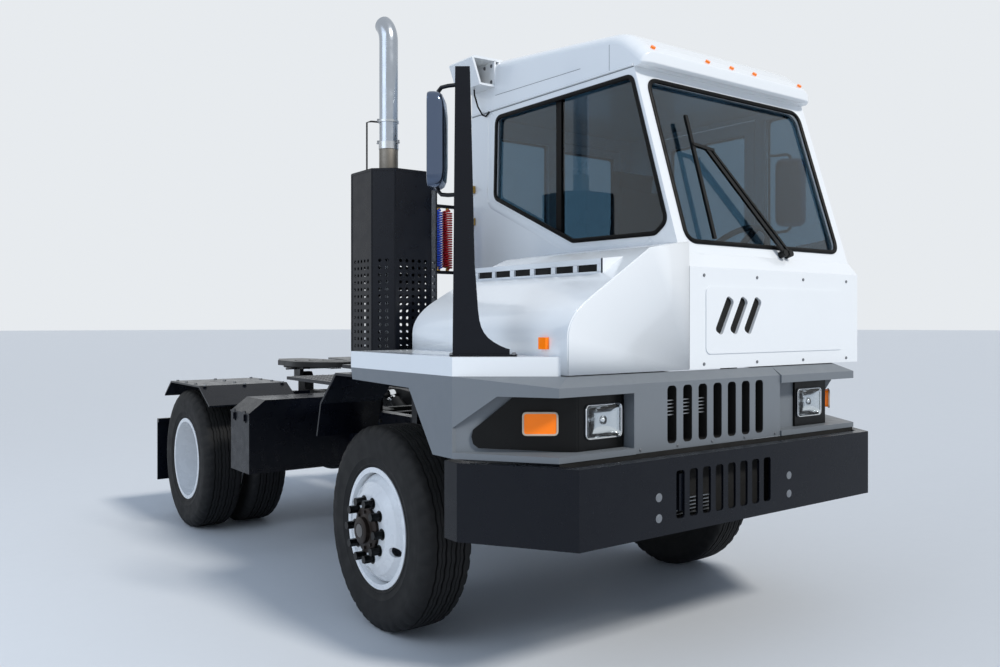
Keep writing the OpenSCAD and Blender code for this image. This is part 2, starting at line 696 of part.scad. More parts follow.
// a spot on the visor's sloping face, z standing out of it
module visor_spot(y) translate([visor_x - 26, y, gutter_z + 93.5]) rotate([0, atan2(43, 48), 0]) children();

module cab_roof() color("#f2f4f5") place() {
  difference() {
    // shoulders rolled over in two facets
    hull() {
      across(cab_y0, cab_y1) roof_side(55);
      across(cab_y0 + 16, cab_y1 - 16) roof_side(16);
      across(cab_y0 + 55, cab_y1 - 55) roof_side(0);
    }
    across(cab_y0 + 40, cab_y1 - 40) roof_void();
  }
  // open lamp housing on the rear right shoulder
  difference() {
    along(-550, -300) polygon([[cab_y0 + 5, roof_z - 170], [cab_y0 - 110, roof_z - 170],
      [cab_y0 - 165, roof_z - 20], [cab_y0 - 150, roof_z - 5],
      [cab_y0 + 55, roof_z - 2], [cab_y0 + 55, roof_z - 60], [cab_y0 + 5, roof_z - 80]]);
    along(-551, -299) polygon([[cab_y0 - 6, roof_z - 158], [cab_y0 - 101, roof_z - 158],
      [cab_y0 - 150, roof_z - 20], [cab_y0 - 6, roof_z - 14]]);
  }
}

// ridge over the hood's sloping side, and the vents' line on the slope
hood_ridge = cab_y0 - 0.345 * (cab_y0 - hood_y);
vent_y = hood_y + 0.81 * (hood_ridge - hood_y);
module hood_end(t) polygon([[cab_y0, cab_z0], [hood_y + t, cab_z0], [hood_y + t, 1580 - 0.55 * t],
  [hood_ridge + 0.5 * t, 1885 - 1.1 * t], [cab_y0, 1925 - t]]);

module hood_outline(x0, x1, z1, r) {
  difference() {
    translate([x0, cab_z0 - 5]) square([x1 - x0, z1 - cab_z0 + 5]);
    difference() {
      translate([x0 - 1, z1 - r]) square([r + 1, r + 1]);
      translate([x0 + r, z1 - r]) circle(r);
    }
  }
}

module engine_hood() color("#f2f4f5") place() difference() {
  intersection() {
    along(-20, cab_front_x) hood_end(0);
    across(hood_y - 1, cab_y0) hood_outline(-20, cab_front_x, 1925, 330);
  }
  intersection() {
    along(0, cab_front_x - 20) hood_end(20);
    across(hood_y - 1, cab_y0 + 1) hood_outline(0, cab_front_x - 20, 1905, 310);
  }
  for (i = [0 : 5]) translate([20 + i * 172, vent_y - 21, 1760]) cube([118, 42, 120]);
}

module cab_glass() color("#6f8ba0") place() {
  on_screen() translate([-26, screen_mid, pane_mid]) rotate([90, 0, 90]) linear_extrude(6)
    round_rect(cab_w - 140.6, pane_h - 0.6, 69.7);
  difference() {
    across(cab_y0 + 20, cab_y0 + 26) side_window();
    block(265, 305, cab_y0, cab_y0 + wall, belt_z + 20, gutter_z - 10);
  }
  across(cab_y1 - 26, cab_y1 - 20) left_fixed_window();
  block(cab_rear_x + 20, cab_rear_x + 26, cab_y0 + 100, cab_y0 + 580, 2100, gutter_z - 110);
}

module dashboard() color("#2b2e31") place() {
  across(cab_y0 + wall, cab_y1 - wall) polygon([[cab_front_x - wall, cab_z0 + 40], [cab_front_x - wall, 1800],
    [1140, 1850], [980, 1850], [930, 1780], [1000, 1650], [1040, cab_z0 + 40]]);
  // column and steering wheel
  translate([960, cab_y1 - 530, 1750]) rotate([0, -40, 0]) cylinder(r = 35, h = 230);
  translate([960, cab_y1 - 530, 1750]) rotate([0, -40, 0]) translate([0, 0, 225]) {
    rotate_extrude() translate([215, 0]) circle(16);
    for (a = [0, 120, 240]) rotate([0, 0, a]) translate([0, -20, -8]) cube([215, 40, 16]);
    cylinder(r = 60, h = 30);
  }
}

module seat() color("#55595d") place() {
  block(80, 560, cab_y1 - 770, cab_y1 - 290, cab_floor_z, 1620);
  block(60, 580, cab_y1 - 780, cab_y1 - 280, 1620, 1780);
  across(cab_y1 - 780, cab_y1 - 280) polygon([[60, 1780], [200, 1780], [90, 2480], [-20, 2480]]);
}

// pantograph wiper: pivot, two arms and the blade, as (across, up) on the screen
wiper_pivot = [79, 18];
wiper_elbow = [-335, 568];
blade_top = [-418, 734];
blade_low = [-436, 70];
module bar(p, q, w, d0, d1) {
  translate([d0, screen_mid + p[0], p[1]]) rotate([atan2(p[0] - q[0], q[1] - p[1]), 0, 0])
    translate([0, -w / 2, 0]) cube([d1 - d0, w, norm(q - p)]);
}
module wiper() color("#141516") place() on_screen() {
  for (d = [0, 45]) translate([0, screen_mid + wiper_pivot[0] + d, wiper_pivot[1]]) rotate([0, 90, 0])
    cylinder(r = 18, h = 40);
  bar(wiper_pivot, wiper_elbow, 22, 24, 36);
  bar(wiper_pivot + [45, 0], wiper_elbow + [45, -10], 14, 25, 35);
  bar(wiper_elbow + [-92, 4], wiper_elbow + [58, -14], 16, 22, 38);
  bar(blade_low, blade_top, 20, 19, 33);
}

frame();
front_bumper();
grille_panel();
lamp_panels();
lamp_bezels();
headlamps();
amber_lamps();
front_fenders();
side_decks();
mirror_post();
mirrors();
exhaust_shroud();
exhaust_stack();
engine();
radiator();
front_axle();
rear_axle();
fuel_tank();
battery_box();
catwalk();
air_hose_red();
air_hose_blue();
rear_fenders();
tail_lamps();
cab_floor();
front_panel();
screen_frame();
cab_right_wall();
cab_left_wall();
cab_rear_wall();
cab_roof();
engine_hood();
cab_glass();
dashboard();
seat();
wiper();
left_door();
left_door_glass();
rear_door();
rear_door_glass();
knuckle_right();
knuckle_left();
tie_rod();
front_wheel_right();
front_tyre_right();
front_wheel_left();
front_tyre_left();
rear_wheels_right();
rear_tyres_right();
rear_wheels_left();
rear_tyres_left();
lift_boom();
lift_barrels();
lift_rods();
fifth_wheel();
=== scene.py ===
"""Dresses the yard truck: enamel, rubber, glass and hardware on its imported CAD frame."""
import math

import bmesh
import bpy
from bpy.props import FloatProperty, IntProperty, PointerProperty, StringProperty
from mathutils import Matrix, Vector


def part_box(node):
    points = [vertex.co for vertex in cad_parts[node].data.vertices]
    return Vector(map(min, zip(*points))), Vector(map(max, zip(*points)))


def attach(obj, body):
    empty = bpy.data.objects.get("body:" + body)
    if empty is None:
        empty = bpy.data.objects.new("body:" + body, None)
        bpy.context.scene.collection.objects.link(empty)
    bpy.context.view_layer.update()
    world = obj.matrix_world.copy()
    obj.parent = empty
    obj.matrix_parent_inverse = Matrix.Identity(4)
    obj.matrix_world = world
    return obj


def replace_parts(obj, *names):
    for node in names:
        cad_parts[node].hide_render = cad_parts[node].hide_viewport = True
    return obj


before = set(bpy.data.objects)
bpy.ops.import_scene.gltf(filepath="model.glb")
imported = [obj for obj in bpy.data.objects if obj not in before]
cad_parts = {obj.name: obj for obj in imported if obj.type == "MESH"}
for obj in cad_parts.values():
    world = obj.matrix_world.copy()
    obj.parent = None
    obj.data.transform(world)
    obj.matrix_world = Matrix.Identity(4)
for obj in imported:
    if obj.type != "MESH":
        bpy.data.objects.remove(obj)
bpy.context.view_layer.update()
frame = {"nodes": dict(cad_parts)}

bl_info = {
    "name": "Yard Truck Dressing",
    "version": (1, 0, 0),
    "blender": (4, 5, 0),
    "location": "View3D > Sidebar > Yard Truck",
    "description": "Finishes and small hardware for a terminal tractor",
    "category": "Object",
}

# metres in the frame
AXLE_X = 1.115      # front axle, ahead of the middle
REAR_X = AXLE_X - 2.943
HUB_Z = 0.515
FRONT_Y = 1.02      # middle of a front tyre
TWIN_Y = 0.912      # where the two discs of a rear pair meet
STUD_R = 0.143      # circle of the wheel nuts
# millimetres from the ground under the front axle, as at() takes them
CAB_RIGHT, CAB_LEFT, CAB_REAR, GUTTER = -200, 1150, -550, 2810
KINGPIN_X = -2800
# directions, and the truck's two sides
ACROSS, UP = (0, 1, 0), (0, 0, 1)
SIDES = ((-1, "right"), (1, "left"))
# metres and radians that make a mesh: corners merged, edges bevelled, edges left sharp
MERGE, BEVEL_ANGLE, SHARP_ANGLE = 1e-6, 0.6, math.radians(35)


def at(x, y, z):
    """A point given in millimetres from the ground under the front axle."""
    return Vector((AXLE_X + x / 1000, y / 1000, z / 1000))


def linear(code):
    """sRGB hex to linear RGBA."""
    out = []
    for i in (1, 3, 5):
        c = int(code[i:i + 2], 16) / 255
        out.append(c / 12.92 if c <= 0.04045 else ((c + 0.055) / 1.055) ** 2.4)
    return (*out, 1.0)


class TruckSizes(bpy.types.PropertyGroup):
    """Sizes a user may change."""
    nut_radius: FloatProperty(name="Nut radius", description="Across-corner radius of a wheel nut cover", default=0.021,
                              min=0.018, max=0.026, unit="LENGTH")
    nut_count: IntProperty(name="Nut count", description="Wheel nuts on a disc", default=10, min=6, max=12)
    seal_width: FloatProperty(name="Seal width", description="Width of the rubber round a window", default=0.0192,
                              min=0.015, max=0.04, unit="LENGTH")
    hole_radius: FloatProperty(name="Hole radius", description="Perforation in the exhaust shroud", default=0.0095,
                               min=0.004, max=0.014, unit="LENGTH")
    hole_pitch: FloatProperty(name="Hole pitch", description="Perforation spacing", default=0.038, min=0.02, max=0.06,
                              unit="LENGTH")
    fin_pitch: FloatProperty(name="Fin pitch", description="Spacing of the radiator fins", default=0.016, min=0.008,
                             max=0.03, unit="LENGTH")
    sun_strength: FloatProperty(name="Key light", description="Strength of the key light", default=2.15, min=0.0,
                                max=6.0)
    sky_strength: FloatProperty(name="Fill light", description="Strength of the fill", default=0.48, min=0.0, max=2.0)


class TruckColours(bpy.types.PropertyGroup):
    """Colours as sRGB hex."""
    cab: StringProperty(name="Cab", description="Cab enamel", default="#eff2f4")
    moulding: StringProperty(name="Moulding", description="Grey fascia and fenders", default="#70767c")
    frame: StringProperty(name="Frame", description="Frame, bumper and shroud enamel", default="#080c15")
    amber: StringProperty(name="Amber", description="Turn signal lens", default="#ff7d0c")
    hose_red: StringProperty(name="Emergency line", description="Red air line", default="#c01f26")
    hose_blue: StringProperty(name="Service line", description="Blue air line", default="#2147b8")


MATS = {}


def link(name, data):
    """New object in the scene."""
    ob = bpy.data.objects.new(name, data)
    bpy.context.scene.collection.objects.link(ob)
    return ob


def add(tree, kind, settings=None, links=None):
    """One node with its settings and incoming links."""
    n = tree.nodes.new(kind)
    for key, value in (settings or {}).items():
        if isinstance(key, str) and hasattr(n, key):
            setattr(n, key, value)
        else:
            n.inputs[key].default_value = value
    for key, source in (links or {}).items():
        tree.links.new(source, n.inputs[key])
    return n


def finish(name, code, rough, speck, grit_mm=0.0, bump=0.0, rough_var=0.08, dust="#b9b4a8", dust_amount=0.0,
           **shader):
    """Principled finish: colour drift over decimetres, grit of a real size in the bump, dust on what faces up."""
    mat = bpy.data.materials.new(name)
    mat.use_nodes = True
    t = mat.node_tree
    t.nodes.clear()
    out = add(t, "ShaderNodeOutputMaterial")
    where = add(t, "ShaderNodeTexCoord").outputs["Object"]
    drift = add(t, "ShaderNodeTexNoise", {"Scale": 3.0, "Detail": 6.0, "Roughness": 0.6}, {"Vector": where})
    dark = [c * (1 - speck) for c in linear(code)[:3]] + [1]
    light = [min(1, c * (1 + speck)) for c in linear(code)[:3]] + [1]
    colour = add(t, "ShaderNodeMix", {"data_type": "RGBA", 6: dark, 7: light}, {0: drift.outputs["Fac"]}).outputs[2]
    if dust_amount:
        up = add(t, "ShaderNodeSeparateXYZ", None, {0: add(t, "ShaderNodeNewGeometry").outputs["Normal"]}).outputs["Z"]
        film = add(t, "ShaderNodeTexNoise", {"Scale": 9.0, "Detail": 8.0}, {"Vector": where}).outputs["Fac"]
        lift = add(t, "ShaderNodeMapRange", {1: -0.2, 2: 1.0, 3: 0.15 * dust_amount, 4: dust_amount},
                   {0: up}).outputs[0]
        mask = add(t, "ShaderNodeMath", {"operation": "MULTIPLY"}, {0: lift, 1: film}).outputs[0]
        colour = add(t, "ShaderNodeMix", {"data_type": "RGBA", 7: linear(dust)}, {0: mask, 6: colour}).outputs[2]
    worn = add(t, "ShaderNodeTexNoise", {"Scale": 14.0, "Detail": 5.0}, {"Vector": where}).outputs["Fac"]
    gloss = add(t, "ShaderNodeMapRange", {1: 0.3, 2: 0.7, 3: max(0.02, rough - rough_var), 4: rough + rough_var},
                {0: worn}).outputs[0]
    bsdf = add(t, "ShaderNodeBsdfPrincipled", shader, {"Base Color": colour, "Roughness": gloss})
    if bump:
        grain = add(t, "ShaderNodeTexNoise", {"Scale": 1000 / grit_mm, "Detail": 2.0}, {"Vector": where}).outputs["Fac"]
        b = add(t, "ShaderNodeBump", {"Strength": bump, "Distance": 0.001}, {"Height": grain})
        t.links.new(b.outputs[0], bsdf.inputs["Normal"])
    t.links.new(bsdf.outputs[0], out.inputs["Surface"])
    MATS[name] = mat
    return mat


def make_materials():
    c = bpy.context.scene.truck_colours
    # two-pack enamel over sheet steel: mirror-like coat, faint orange peel of about 3 mm
    finish("cab_enamel", c.cab, 0.22, 0.015, 3.0, 0.03, 0.05, dust_amount=0.06,
           **{"Coat Weight": 0.5, "Coat Roughness": 0.06})
    # grained moulded fascia plastic, satin, moulding grain drawn at 1.2 mm so that it shows
    finish("fascia_moulding", c.moulding, 0.46, 0.03, 1.2, 0.06, 0.06, dust_amount=0.08)
    # chassis enamel: satin blue-black with a breath of dust on what faces up
    finish("frame_enamel", c.frame, 0.3, 0.15, 2.0, 0.05, 0.08, dust_amount=0.012, **{"Specular IOR Level": 0.22})
    # enamel of the running gear: duller, with brown road dust
    finish("axle_enamel", "#101113", 0.5, 0.2, 1.5, 0.15, 0.12, dust="#6f675a", dust_amount=0.1,
           **{"Specular IOR Level": 0.3})
    # moulded black ABS: soft sheen over a fine grain
    finish("black_abs", "#060708", 0.34, 0.1, 0.8, 0.06, **{"Specular IOR Level": 0.22})
    # carbon-black tyre rubber with a greyed bloom
    finish("tyre_rubber", "#17181a", 0.72, 0.18, 2.0, 0.18, 0.08, dust="#7d776c", dust_amount=0.1,
           **{"Specular IOR Level": 0.25})
    # white wheel discs, half gloss, with brake dust
    finish("wheel_enamel", "#eceef0", 0.28, 0.03, 2.5, 0.05, 0.08, dust="#8d8578", dust_amount=0.12,
           **{"Coat Weight": 0.3})
    # window rubber: deep black with little sheen
    finish("seal_rubber", "#030304", 0.45, 0.1, 0.6, 0.08, **{"Specular IOR Level": 0.12})
    # moulded lenses; the amber ones glow a little though their lamps are off, a painted glow so that the amber stays
    # clear in the shade
    finish("amber_lens", c.amber, 0.14, 0.05, 6.0, 0.1, 0.03,
           **{"Specular IOR Level": 0.3, "Coat Weight": 0.12, "Emission Color": linear(c.amber),
              "Emission Strength": 0.22})
    finish("red_lens", "#a41216", 0.14, 0.06, 6.0, 0.1, 0.03, **{"Coat Weight": 0.6})
    # polished tube of the stack
    finish("stack_steel", "#a7adb5", 0.24, 0.1, 1.0, 0.02, 0.1, Metallic=1.0)
    # polished backs of the mirror heads
    finish("mirror_back", "#59657a", 0.16, 0.06, 1.0, 0.0, 0.05, Metallic=0.9)
    # grey of the shadow in a panel joint
    finish("crease_shadow", "#7d8287", 0.6, 0.05)
    # bare and plated metals, from mirror-like chrome to dull zinc and fins
    finish("bright_steel", "#b7babd", 0.3, 0.06, 1.0, 0.03, 0.1, Metallic=1.0)
    finish("chrome", "#e2e4e6", 0.07, 0.02, 1.0, 0.0, 0.03, Metallic=1.0)
    finish("zinc_bolt", "#8d9094", 0.38, 0.12, 1.0, 0.06, 0.1, Metallic=1.0)
    finish("fin_aluminium", "#9a9da0", 0.42, 0.1, 1.0, 0.04, 0.1, Metallic=1.0)
    finish("tank_aluminium", "#b4b8bb", 0.32, 0.05, 0.6, 0.04, 0.08, Metallic=1.0)
    # rough casting with rusty dust
    finish("cast_iron", "#2a2c2e", 0.5, 0.2, 3.0, 0.35, 0.12, dust="#5b4a3a", dust_amount=0.2, Metallic=0.6)
    # forged coupling plate, blackened by old grease
    finish("greased_steel", "#0d0e10", 0.36, 0.16, 1.4, 0.12, 0.1, Metallic=0.25)
    # smooth nylon tube, half glossy
    finish("red_nylon", c.hose_red, 0.3, 0.05, 1.0, 0.0, 0.05)
    finish("blue_nylon", c.hose_blue, 0.3, 0.05, 1.0, 0.0, 0.05)
    # woven cloth with a nap, and the grained trim round it
    finish("seat_cloth", "#3a3f46", 0.85, 0.12, 1.6, 0.5, 0.05, **{"Sheen Weight": 0.3})
    finish("cab_trim", "#4a4f55", 0.6, 0.06, 1.2, 0.12)
    # flat black of painted shade: stands for the unlit hollows behind slots and vents
    finish("painted_shade_black", "#050505", 0.9, 0.1)
    # brown-black hub iron, oily
    finish("hub_iron", "#231a16", 0.45, 0.3, 2.0, 0.2, 0.1, Metallic=0.5)
    # silvered lamp bowls and the pale edge of the signals
    finish("reflector", "#d7dadc", 0.12, 0.02, 1.0, 0.0, 0.05, Metallic=1.0)
    finish("amber_rim", "#c9b9a6", 0.22, 0.05, 1.0, 0.0, 0.05)
    # hub sight glass, dark with oil
    finish("oil_glass", "#1c130d", 0.12, 0.1, 1.0, 0.0, 0.05, **{"Coat Weight": 0.6})
    # pipe browned by heat
    finish("heat_steel", "#77736c", 0.5, 0.25, 4.0, 0.1, 0.12, dust="#6a4a32", dust_amount=0.25, Metallic=0.8)
    # fittings of the air lines
    finish("brass", "#b08d4a", 0.3, 0.08, 1.0, 0.03, 0.08, Metallic=1.0)
    # worn tread plate, dusty
    finish("tread_steel", "#24262a", 0.4, 0.2, 1.5, 0.08, 0.1, dust="#6f675a", dust_amount=0.2, Metallic=0.4)
    # silvered mirror
    finish("mirror_glass", "#c8d2da", 0.03, 0.01, 1.0, 0.0, 0.0, Metallic=1.0)
    # float glass with a blue-green body tint
    for name, code, rough in (("cab_glass", "#7c95a4", 0.0), ("lamp_glass", "#eef3f6", 0.02)):
        mat = finish(name, code, rough, 0.01, 1.0, 0.0, 0.01)
        b = next(n for n in mat.node_tree.nodes if n.type == "BSDF_PRINCIPLED")
        b.inputs["Transmission Weight"].default_value = 1.0
        b.inputs["IOR"].default_value = 1.45 if name == "lamp_glass" else 1.5


NODE_FINISH = {
    "cab_enamel": "front_panel screen_frame cab_right_wall cab_left_wall cab_rear_wall cab_roof engine_hood side_decks "
                  "left_door rear_door",
    "fascia_moulding": "grille_panel lamp_panels front_fenders",
    "frame_enamel": "frame front_bumper mirror_post exhaust_shroud battery_box catwalk rear_fenders",
    "axle_enamel": "lift_boom lift_barrels front_axle rear_axle knuckle_right knuckle_left tie_rod",
    "black_abs": "lamp_bezels wiper",
    "mirror_back": "mirrors",
    "cab_trim": "dashboard cab_floor",
    "amber_lens": "amber_lamps",
    "red_lens": "tail_lamps",
    "lamp_glass": "headlamps",
    "stack_steel": "exhaust_stack",
    "cast_iron": "engine",
    "greased_steel": "fifth_wheel",
    "fin_aluminium": "radiator",
    "tank_aluminium": "fuel_tank",
    "red_nylon": "air_hose_red",
    "blue_nylon": "air_hose_blue",
    "cab_glass": "cab_glass left_door_glass rear_door_glass",
    "seat_cloth": "seat",
    "wheel_enamel": "front_wheel_right front_wheel_left rear_wheels_right rear_wheels_left",
    "tyre_rubber": "front_tyre_right front_tyre_left rear_tyres_right rear_tyres_left",
    "chrome": "lift_rods",
}


BOX_FACES = [(3, 2, 1, 0), (4, 5, 6, 7), (0, 1, 5, 4), (1, 2, 6, 5), (2, 3, 7, 6), (3, 0, 4, 7)]


def brick(lo, hi):
    """Box between two corners."""
    x0, y0, z0 = lo
    x1, y1, z1 = hi
    v = [Vector(p) for p in ((x0, y0, z0), (x1, y0, z0), (x1, y1, z0), (x0, y1, z0),
                             (x0, y0, z1), (x1, y0, z1), (x1, y1, z1), (x0, y1, z1))]
    return v, BOX_FACES


def slab(n):
    """Faces of a prism with n corners at each end, one end's corners after the other's."""
    ends = [tuple(range(n)), tuple(range(n, 2 * n))]
    return ends + [(i, (i + 1) % n, (i + 1) % n + n, i + n) for i in range(n)]


def sweep(path, section, up=None, closed=False):
    """Carries a closed section (u along up, v along tangent x up) down a path."""
    path = [Vector(p) for p in path]
    n, k = len(path), len(section)
    verts, faces = [], []
    last = Vector(up) if up else None
    for i, p in enumerate(path):
        a = path[(i - 1) % n] if closed or i else p
        b = path[(i + 1) % n] if closed or i < n - 1 else p
        tangent = (b - a).normalized()
        if up:
            u = (Vector(up) - tangent * tangent.dot(Vector(up))).normalized()
        else:
            if last is None:
                last = Vector((0, 0, 1)) if abs(tangent.z) < 0.9 else Vector((1, 0, 0))
            u = (last - tangent * tangent.dot(last)).normalized()
            last = u
        w = tangent.cross(u)
        verts += [p + u * s[0] + w * s[1] for s in section]
    for i in range(n if closed else n - 1):
        j = (i + 1) % n
        for m in range(k):
            q = (m + 1) % k
            faces.append((i * k + m, i * k + q, j * k + q, j * k + m))
    if not closed:
        faces += [tuple(range(k)), tuple(range((n - 1) * k, n * k))]
    return verts, faces


def ring(radius, sides):
    """Round section of a rod."""
    return [(radius * math.cos(2 * math.pi * i / sides), radius * math.sin(2 * math.pi * i / sides))
            for i in range(sides)]


def lathe(profile, centre, axis, steps, wobble=None):
    """Turns (radius, height) points round an axis; a profile from axis to axis is closed."""
    axis = Vector(axis).normalized()
    side = axis.orthogonal().normalized()
    other = axis.cross(side)
    verts, faces = [], []
    k = len(profile)
    for i in range(steps):
        a = 2 * math.pi * i / steps
        d = side * math.cos(a) + other * math.sin(a)
        for m, (r, h) in enumerate(profile):
            if wobble:
                r, h = wobble(m, i, r, h)
            verts.append(Vector(centre) + d * r + axis * h)
    for i in range(steps):
        j = (i + 1) % steps
        for m in range(k - 1):
            faces.append((i * k + m, j * k + m, j * k + m + 1, i * k + m + 1))
    return verts, faces


def rounded(points, radius, steps):
    """Rounds the corners of a closed planar loop of 3-D points, by one radius or one for each."""
    out = []
    n = len(points)
    radii = radius if isinstance(radius, list) else [radius] * n
    for i in range(n):
        p, a, b = Vector(points[i]), Vector(points[i - 1]), Vector(points[(i + 1) % n])
        u, w = (a - p).normalized(), (b - p).normalized()
        half = u.angle(w) / 2
        d = min(radii[i] / math.tan(half), 0.45 * min((a - p).length, (b - p).length))
        s, e = p + u * d, p + w * d
        for m in range(steps + 1):
            t = m / steps
            out.append((s * (1 - t) + p * t) * (1 - t) + (p * (1 - t) + e * t) * t)
    return out


def piece(name, parts, mat, body, bevel=0.0):
    """One mesh of several shapes, closed and facing outwards, riding on a body."""
    verts, faces = [], []
    for v, f in parts:
        base = len(verts)
        verts += v
        faces += [tuple(i + base for i in q) for q in f]
    me = bpy.data.meshes.new(name)
    me.from_pydata([tuple(v) for v in verts], [], faces)
    bm = bmesh.new()
    bm.from_mesh(me)
    bmesh.ops.remove_doubles(bm, verts=bm.verts, dist=MERGE)
    if bevel:
        edges = [e for e in bm.edges if e.is_manifold and e.calc_face_angle(0) > BEVEL_ANGLE]
        bmesh.ops.bevel(bm, geom=edges, offset=bevel, segments=2, affect="EDGES", clamp_overlap=True)
    bmesh.ops.recalc_face_normals(bm, faces=bm.faces)
    bm.to_mesh(me)
    bm.free()
    ob = link(name, me)
    me.materials.append(MATS[mat])
    me.shade_smooth()
    me.set_sharp_from_angle(angle=SHARP_ANGLE)
    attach(ob, body)
    return ob


def repeat(name, spots, sizes, build, mat, body):
    """Instances of one small shape on spots (place, turn), by a node tree with named sizes."""
    me = bpy.data.meshes.new(name)
    me.from_pydata([tuple(p) for p, _ in spots], [], [])
    turn = me.attributes.new("turn", "FLOAT_VECTOR", "POINT")
    turn.data.foreach_set("vector", [c for _, r in spots for c in r])
    ob = link(name, me)
    t = bpy.data.node_groups.new(name, "GeometryNodeTree")
    t.interface.new_socket("Geometry", in_out="INPUT", socket_type="NodeSocketGeometry")
    keys = {k: t.interface.new_socket(k, in_out="INPUT", socket_type="NodeSocketFloat").identifier for k in sizes}
    t.interface.new_socket("Geometry", in_out="OUTPUT", socket_type="NodeSocketGeometry")
    given = add(t, "NodeGroupInput")
    turned = add(t, "GeometryNodeInputNamedAttribute", {"data_type": "FLOAT_VECTOR", "Name": "turn"})
    shape = build(t, given)
    inst = add(t, "GeometryNodeInstanceOnPoints", None,
               {"Points": given.outputs["Geometry"], "Instance": shape, "Rotation": turned.outputs["Attribute"]})
    real = add(t, "GeometryNodeRealizeInstances", None, {0: inst.outputs[0]})
    done = add(t, "GeometryNodeSetMaterial", {"Material": MATS[mat]}, {"Geometry": real.outputs[0]})
    add(t, "NodeGroupOutput", None, {0: done.outputs[0]})
    mod = ob.modifiers.new(name, "NODES")
    mod.node_group = t
    for k, value in sizes.items():
        mod[keys[k]] = value
    dg = bpy.context.evaluated_depsgraph_get()
    plain = bpy.data.meshes.new_from_object(ob.evaluated_get(dg))
    ob.modifiers.clear()
    ob.data = plain
    if not plain.materials:
        plain.materials.append(MATS[mat])
    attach(ob, body)
    return ob


def hex_bolt(t, given):
    """Six-sided head on a thin washer, standing along its z."""
    radius, height = given.outputs["Radius"], given.outputs["Height"]
    head = add(t, "GeometryNodeMeshCylinder", {"Vertices": 6}, {"Radius": radius, "Depth": height})
    half = add(t, "ShaderNodeMath", {"operation": "MULTIPLY", 1: 0.5}, {0: height}).outputs[0]
    lift = add(t, "ShaderNodeCombineXYZ", None, {"Z": half}).outputs[0]
    up = add(t, "GeometryNodeTransform", None, {"Geometry": head.outputs["Mesh"], "Translation": lift}).outputs[0]
    wide = add(t, "ShaderNodeMath", {"operation": "MULTIPLY", 1: 1.35}, {0: radius}).outputs[0]
    washer = add(t, "GeometryNodeMeshCylinder", {"Vertices": 14, "Depth": 0.003}, {"Radius": wide}).outputs["Mesh"]
    both = add(t, "GeometryNodeJoinGeometry", None, {0: up})
    t.links.new(washer, both.inputs[0])
    return both.outputs[0]


def bolts(name, spots, radius, height, mat, body):
    """Hexagon heads on spots (place, turn)."""
    return repeat(name, spots, {"Radius": radius, "Height": height}, hex_bolt, mat, body)


# turns that bring a small shape's z to the direction named
FACE_FRONT = (0.0, math.pi / 2, 0.0)
FACE_RIGHT = (math.pi / 2, 0.0, 0.0)
FACE_LEFT = (-math.pi / 2, 0.0, 0.0)
FACE_UP = (0.0, 0.0, 0.0)
FACE_REAR = (0.0, -math.pi / 2, 0.0)


class TRUCK_OT_stage(bpy.types.Operator):
    """Pale floor, soft key and fill, and the camera at the photograph's place"""
    bl_idname = "truck.stage"
    bl_label = "Stage"

    def execute(self, context):
        s = context.scene
        s.view_settings.view_transform = "Standard"
        sizes = s.truck_sizes
        radius, sides = 150, 96
        turns = [2 * math.pi * i / sides for i in range(sides)]
        me = bpy.data.meshes.new("floor")
        me.from_pydata([(radius * math.cos(a), radius * math.sin(a), 0) for a in turns], [], [tuple(range(sides))])
        me.materials.append(finish("studio_floor", "#d9dcdf", 0.75, 0.01))
        ob = link("floor", me)
        # the backdrop for what the camera sees directly, mirrored or through glass, and a cooler fill for the rest
        world = bpy.data.worlds.new("studio")
        s.world = world
        world.use_nodes = True
        t = world.node_tree
        t.nodes.clear()
        path = add(t, "ShaderNodeLightPath").outputs
        ray = path["Is Camera Ray"]
        for kind in ("Is Glossy Ray", "Is Transmission Ray"):
            ray = add(t, "ShaderNodeMath", {"operation": "MAXIMUM"}, {0: ray, 1: path[kind]}).outputs[0]
        fill = add(t, "ShaderNodeBackground", {"Color": (0.64, 0.78, 1.0, 1), "Strength": sizes.sky_strength})
        seen = add(t, "ShaderNodeBackground", {"Color": (0.80, 0.83, 0.86, 1), "Strength": 1.0})
        mix = add(t, "ShaderNodeMixShader", None, {0: ray, 1: fill.outputs[0], 2: seen.outputs[0]})
        add(t, "ShaderNodeOutputWorld", None, {"Surface": mix.outputs[0]})
        # warm key from ahead and above, wide enough for soft shadow edges
        key = bpy.data.lights.new("key", "SUN")
        key.energy = sizes.sun_strength
        key.angle = math.radians(9)
        key.color = (1.0, 0.97, 0.92)
        link("key", key).rotation_euler = Vector((0.72, 0.12, 0.68)).to_track_quat("Z", "Y").to_euler()
        # cool light from the right that draws the edges of the black pieces
        soft = bpy.data.lights.new("rim", "AREA")
        soft.energy = 130
        soft.color = (0.74, 0.85, 1.0)
        soft.size = 5
        stand, target = Vector((1.0, -6.5, 4.5)), Vector((0.5, 0, 1.2))
        rim = link("rim", soft)
        rim.location = stand
        rim.rotation_euler = (stand - target).to_track_quat("Z", "Y").to_euler()
        # the photograph's camera, solved from the tyres, the wheelbase and the fascia
        focal_px, photo_px, sensor = 894.5, 1000, 36
        yaw, dip = math.radians(141.97), 0.04
        cam = bpy.data.cameras.new("camera")
        cam.sensor_fit = "HORIZONTAL"
        cam.sensor_width = sensor
        cam.lens = focal_px / photo_px * sensor
        cam.shift_x = -0.0413
        cam.shift_y = -0.0126
        cam.clip_end = 400
        c = link("camera", cam)
        c.location = (AXLE_X + 4.064, -3.264, 1.562)
        c.rotation_euler = (math.radians(90 - dip), 0, yaw - math.pi / 2)
        s.camera = c
        return {"FINISHED"}


